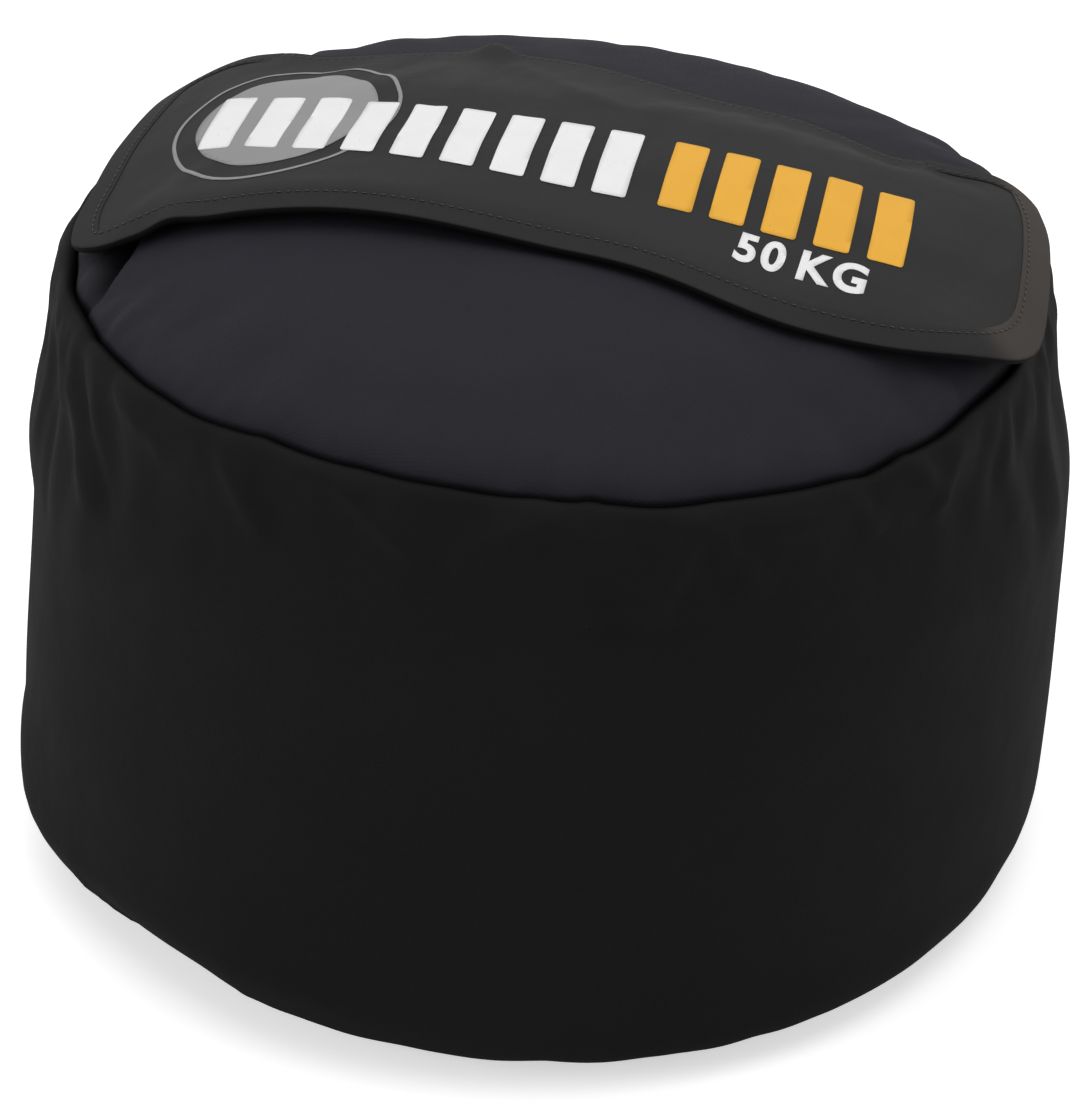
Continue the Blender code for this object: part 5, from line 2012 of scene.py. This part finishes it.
@dataclass
class HiddenPieces:
    """What lies inside the bag: the seams' tapes, the liner with its tie, and the sand."""

    form: BagForm
    tape: float = 0.0008
    tape_fold: float = 0.001
    tape_segments: int = 180
    side_heading: float = 94.5
    side_half: float = 3.4
    side_columns: int = 9
    side_pitch: float = 0.003
    liner_gap: float = 0.0032
    liner_cloth: float = 0.0010
    liner_pitch: float = 0.005
    liner_segments: int = 120
    liner_radius: float = 0.19
    crown_drop: float = 0.020
    base_corner: float = 0.012
    corner_reach: float = 0.018
    neck_foot: float = 0.006
    side_top: float = 0.008
    rim_in: float = 0.006
    neck_radius: float = 0.0036
    mouth_radius: float = 0.009
    crease: float = 0.0008
    rumple: float = 0.0006
    tie_radius: float = 0.0062
    tie_weave: float = 0.0060
    tie_cord: float = 0.0012
    tie_height: float = 0.005
    sand_in: float = 0.0012
    sand_pitch: float = 0.006
    sand_segments: int = 96
    sand_uneven: float = 0.0012

    def seam_tape(self, name: str, node: str, radius: float, edge: float, side: int, tipped: bool) -> None:
        """Builds the tape folded round a seam's two allowances.

        Args:
            name: the piece's name.
            node: the CAD node that it stands for.
            radius: the seam's radius.
            edge: the height where the allowances end.
            side: 1 where they end upwards, -1 where downwards.
            tipped: True where the seam is the rim's.
        """
        reach = self.form.gap / 2 + self.form.cloth + self.form.gap
        outer, inner = radius + reach, radius - reach
        end = edge + side * self.form.gap
        foot, fold = end - side * self.form.allowance / 2, end - side * self.tape_fold
        line = joined(
            [(outer, foot), (outer, fold)],
            rounded((outer, fold), (outer, end), (radius, end), 4),
            rounded((radius, end), (inner, end), (inner, fold), 4),
            [(inner, fold), (inner, foot)],
        )
        mesh = mesh_of(turn_out(spun(line, self.tape_segments), (0, 0, 0)), name)
        points = coords(mesh)
        angle = np.mod(headings(points), FULL_TURN)
        lay_uv(mesh, np.column_stack((angle * radius, stored(mesh, RUN))), FULL_TURN * radius)
        set_coords(mesh, self.form.on_top(points) if tipped else self.form.slumped(points))
        made = piece(mesh, Finishes.webbing.made(), Body.BAG, [node])
        thicken(made, self.tape, 1)

    def liner_line(self, inset: float) -> Points:
        """The liner's line from the middle of its base to the foot of its neck.

        Args:
            inset: how far inside the liner the line runs.

        Returns:
            Rows of radius and height.
        """
        form = self.form
        reach = form.gap * 3 + form.cloth + self.tape + self.liner_gap + inset
        base, rim = form.base_radius - reach, form.rim_radius - reach
        floor = form.cloth + form.gap + inset
        foot = form.rim_height + form.crown_height - self.crown_drop - inset
        side = set_in(form.wall_side(), form.cloth + self.liner_gap + form.gap + inset)
        side = side[side[:, 1] < form.rim_height - form.allowance - form.rim_drop - self.side_top]
        corner = (base - self.base_corner, floor)
        seam = (base, form.base_height + form.allowance)
        top = (rim, form.rim_height - self.rim_in)
        return joined(
            [(0, floor), corner],
            rounded(corner, (base, floor), seam, 6),
            rounded(seam, (side[0, 0], self.corner_reach), side[0], 5),
            side,
            rounded(side[-1], (rim, form.rim_height - self.corner_reach), top, 5),
            rounded(top, (form.crown_edge, foot), (self.neck_foot, foot), 24),
        )

    def liner(self) -> None:
        """Builds the inner bag with its gathered neck."""
        line = self.liner_line(0)
        foot, neck = line[-1, 1], self.neck_radius
        throat = rounded(line[-1], (neck, foot + 0.001), (neck, foot + 0.005), 5)
        flare = rounded((neck, foot + 0.005), (neck, foot + 0.008), (self.mouth_radius, foot + 0.010), 5)
        line = evenly(joined(line, throat, flare), self.liner_pitch)
        mesh = mesh_of(turn_out(spun(line, self.liner_segments), INSIDE), "liner_bag_cloth")
        points, run = coords(mesh), stored(mesh, RUN)
        angle = headings(points)
        round_way = np.mod(angle, FULL_TURN) * self.liner_radius
        lay_uv(mesh, np.column_stack((round_way, run)), FULL_TURN * self.liner_radius)
        near = bell(reaches(points), 0.02, 0.05) * (points[:, 2] > 0.2)
        creases = self.crease * np.cos(17 * angle + 3 * np.sin(3 * angle)) * near
        creases -= self.rumple * np.abs(np.sin(9 * angle + run * 60))
        points += normals(mesh) * creases[:, None]
        set_coords(mesh, self.form.slumped(points))
        made = piece(mesh, Finishes.liner.made(), Body.BAG, ["liner_bag"])
        thicken(made, self.liner_cloth, -1)

    def tie(self) -> None:
        """Builds the cord round the liner's neck."""
        bm = bmesh.new()
        ring = bmesh.ops.create_circle(bm, segments=12, radius=self.tie_cord)["verts"]
        bmesh.ops.rotate(bm, verts=ring, cent=(0, 0, 0), matrix=Matrix.Rotation(math.pi / 2, 3, "X"))
        bmesh.ops.translate(bm, vec=(self.tie_radius, 0, 0), verts=ring)
        spin_round(bm, 48)
        bmesh.ops.recalc_face_normals(bm, faces=bm.faces)
        mesh = mesh_of(bm, "liner_tie_cord")
        points = coords(mesh)
        lay_uv(mesh, np.column_stack((headings(points) * self.tie_weave, points[:, 2])))
        points[:, 2] += self.form.crown_height - self.crown_drop + self.tie_height
        set_coords(mesh, self.form.on_top(points))
        piece(mesh, Finishes.cord.made(), Body.BAG, ["liner_neck_tie"])

    def sand(self) -> None:
        """Builds the fill, its top a little uneven."""
        line = self.liner_line(self.liner_cloth + self.sand_in)
        line[-1, 0] = 0
        line = evenly(line, self.sand_pitch)
        mesh = mesh_of(turn_out(spun(line, self.sand_segments), INSIDE), "sand_heap")
        points = coords(mesh)
        heaps = 1 + np.cos(points[:, 0] * 60 + 2) * np.cos(points[:, 1] * 47)
        points[:, 2] -= self.sand_uneven * heaps * smooth_share(points[:, 2], 0.20, 0.25)
        set_coords(mesh, self.form.slumped(points))
        piece(mesh, Finishes.sand.made(), Body.BAG, ["sand_fill"])

    def side_tape(self) -> None:
        """Builds the tape inside the wall's upright seam, at the back."""
        line = set_in(self.form.wall_side(48), self.form.cloth + self.sand_in)
        rows = []
        for share in np.linspace(-1, 1, self.side_columns):
            turn = math.radians(self.side_heading + self.side_half * share)
            points = np.column_stack((line[:, 0] * math.cos(turn), line[:, 0] * math.sin(turn), line[:, 1]))
            rows.append(self.form.slumped(points))
        mesh = mesh_of(turn_out(lofted(rows), INSIDE, outward=False), "side_seam_cloth_tape")
        across = np.repeat(np.arange(self.side_columns) * self.side_pitch, len(line))
        lay_uv(mesh, np.column_stack((across, np.tile(lengths_along(line), self.side_columns))))
        made = piece(mesh, Finishes.webbing.made(), Body.BAG, ["side_seam_tape"])
        thicken(made, self.tape, 1)

    def build(self) -> None:
        """Builds all of them."""
        form = self.form
        top, bottom = -form.allowance - form.rim_drop, form.base_height + form.allowance
        self.seam_tape("top_seam_tape", "top_seam_binding", form.rim_radius, top, -1, True)
        self.seam_tape("bottom_seam_tape", "bottom_seam_binding", form.base_radius, bottom, 1, False)
        self.side_tape()
        self.liner()
        self.tie()
        self.sand()


class ZipHardware:
    """The zip's CAD solids, which keep their shape and get real finishes."""

    tapes = ("zip_tape_front", "zip_tape_rear")
    teeth = ("zip_teeth_front", "zip_teeth_rear")
    metal = ("zip_stop_left", "zip_stop_right", "zip_slider_upper", "zip_slider_lower", "zip_pull_tab")

    def build(self) -> None:
        """Dresses each solid."""
        for names, finish in (
            (self.tapes, Finishes.zip_tape),
            (self.teeth, Finishes.teeth),
            (self.metal, Finishes.metal),
        ):
            for name in names:
                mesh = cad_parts[name].data
                mesh.materials.clear()
                mesh.materials.append(finish.made())
                LOG.info("%s: kept, dressed as %s", name, finish.name)


@dataclass(frozen=True)
class Lamp:
    """A square soft lamp that looks at the bag, its power in watts."""

    name: str
    place: tuple[float, float, float]
    size: float
    power: float

    def hang(self) -> None:
        """Hangs the lamp."""
        light = bpy.data.lights.new(self.name, "AREA")
        light.shape = "SQUARE"
        light.size = self.size
        light.energy = self.power
        made = bpy.data.objects.new(self.name, light)
        made.location = self.place
        aim = Vector(INSIDE) - Vector(self.place)
        made.rotation_euler = aim.to_track_quat("-Z", "Y").to_euler()
        bpy.context.scene.collection.objects.link(made)


@dataclass(frozen=True)
class Studio:
    """The floor, the lamps and the camera."""

    camera: tuple[float, float, float] = (0.2011, -1.0897, 0.7886)
    target: tuple[float, float, float] = (0.0029, 0.0005, 0.1087)
    lens: float = 106.13
    ambient: float = 0.34
    floor_half: float = 4.0
    floor_pale: float = 0.93
    floor_glow: float = 0.56
    lamps: tuple[Lamp, ...] = (
        Lamp("overhead_lamp", (0.10, 0.15, 2.4), 2.6, 35.0),
        Lamp("left_lamp", (-1.4, -1.1, 0.9), 0.7, 5.0),
        Lamp("right_lamp", (1.7, -0.2, 0.7), 0.7, 2.5),
    )

    def floor(self) -> None:
        """Lays the floor, white to the camera."""
        bm = bmesh.new()
        bmesh.ops.create_grid(bm, x_segments=1, y_segments=1, size=self.floor_half)
        made = bpy.data.objects.new("floor", mesh_of(bm, "floor"))
        bpy.context.scene.collection.objects.link(made)
        bench = MaterialBench("floor")
        bench.finish((self.floor_pale, self.floor_pale, self.floor_pale, 1), 0.9, Specular_IOR_Level=0.0)
        seen = bench.node("LightPath").outputs["Is Camera Ray"]
        bench.feed(bench.shader.inputs["Emission Color"], (1, 1, 1, 1))
        bench.feed(bench.shader.inputs["Emission Strength"], bench.calc("MULTIPLY", seen, self.floor_glow))
        made.data.materials.append(bench.material)

    def world(self) -> None:
        """Lights the room from all around, and shows it white to the camera and in reflections."""
        world = bpy.data.worlds.new("room")
        world.use_nodes = True
        bpy.context.scene.world = world
        world.node_tree.nodes.clear()
        bench = NodeBench(world.node_tree)
        rays = bench.node("LightPath").outputs
        seen = bench.calc("MAXIMUM", rays["Is Camera Ray"], rays["Is Glossy Ray"])
        seen = bench.calc("MAXIMUM", seen, rays["Is Transmission Ray"])
        level = bench.calc("MULTIPLY_ADD", seen, 1 - self.ambient, self.ambient)
        background = bench.node("Background", Color=(1, 1, 1, 1), Strength=level)
        bench.node("OutputWorld", Surface=background.outputs[0])

    def shot(self) -> None:
        """Sets the camera where the photograph was taken from."""
        lens = bpy.data.cameras.new("camera")
        lens.lens = self.lens
        lens.sensor_width = 36
        lens.sensor_fit = "HORIZONTAL"
        lens.clip_start = 0.01
        made = bpy.data.objects.new("camera", lens)
        made.location = self.camera
        aim = Vector(self.target) - Vector(self.camera)
        made.rotation_euler = aim.to_track_quat("-Z", "Y").to_euler()
        bpy.context.scene.collection.objects.link(made)
        bpy.context.scene.camera = made

    def build(self) -> None:
        """Sets up everything around the bag."""
        self.floor()
        self.world()
        for lamp in self.lamps:
            lamp.hang()
        self.shot()
        bpy.context.scene.view_settings.view_transform = "Standard"


def main() -> None:
    """Builds the bag from its wall inwards and its top outwards, then the studio."""
    logging.basicConfig(level=logging.INFO, format="%(name)s: %(message)s")
    form = BagForm()
    plan = FlapForm(form)
    SideWall(form).build()
    BasePanel(form).build()
    TopPanels(form).build()
    HiddenPieces(form).build()
    CoverFlap(plan).build()
    FlapPrint(plan).build()
    Stitching(plan).build()
    ZipHardware().build()
    Studio().build()


if __name__ == "__main__":
    main()
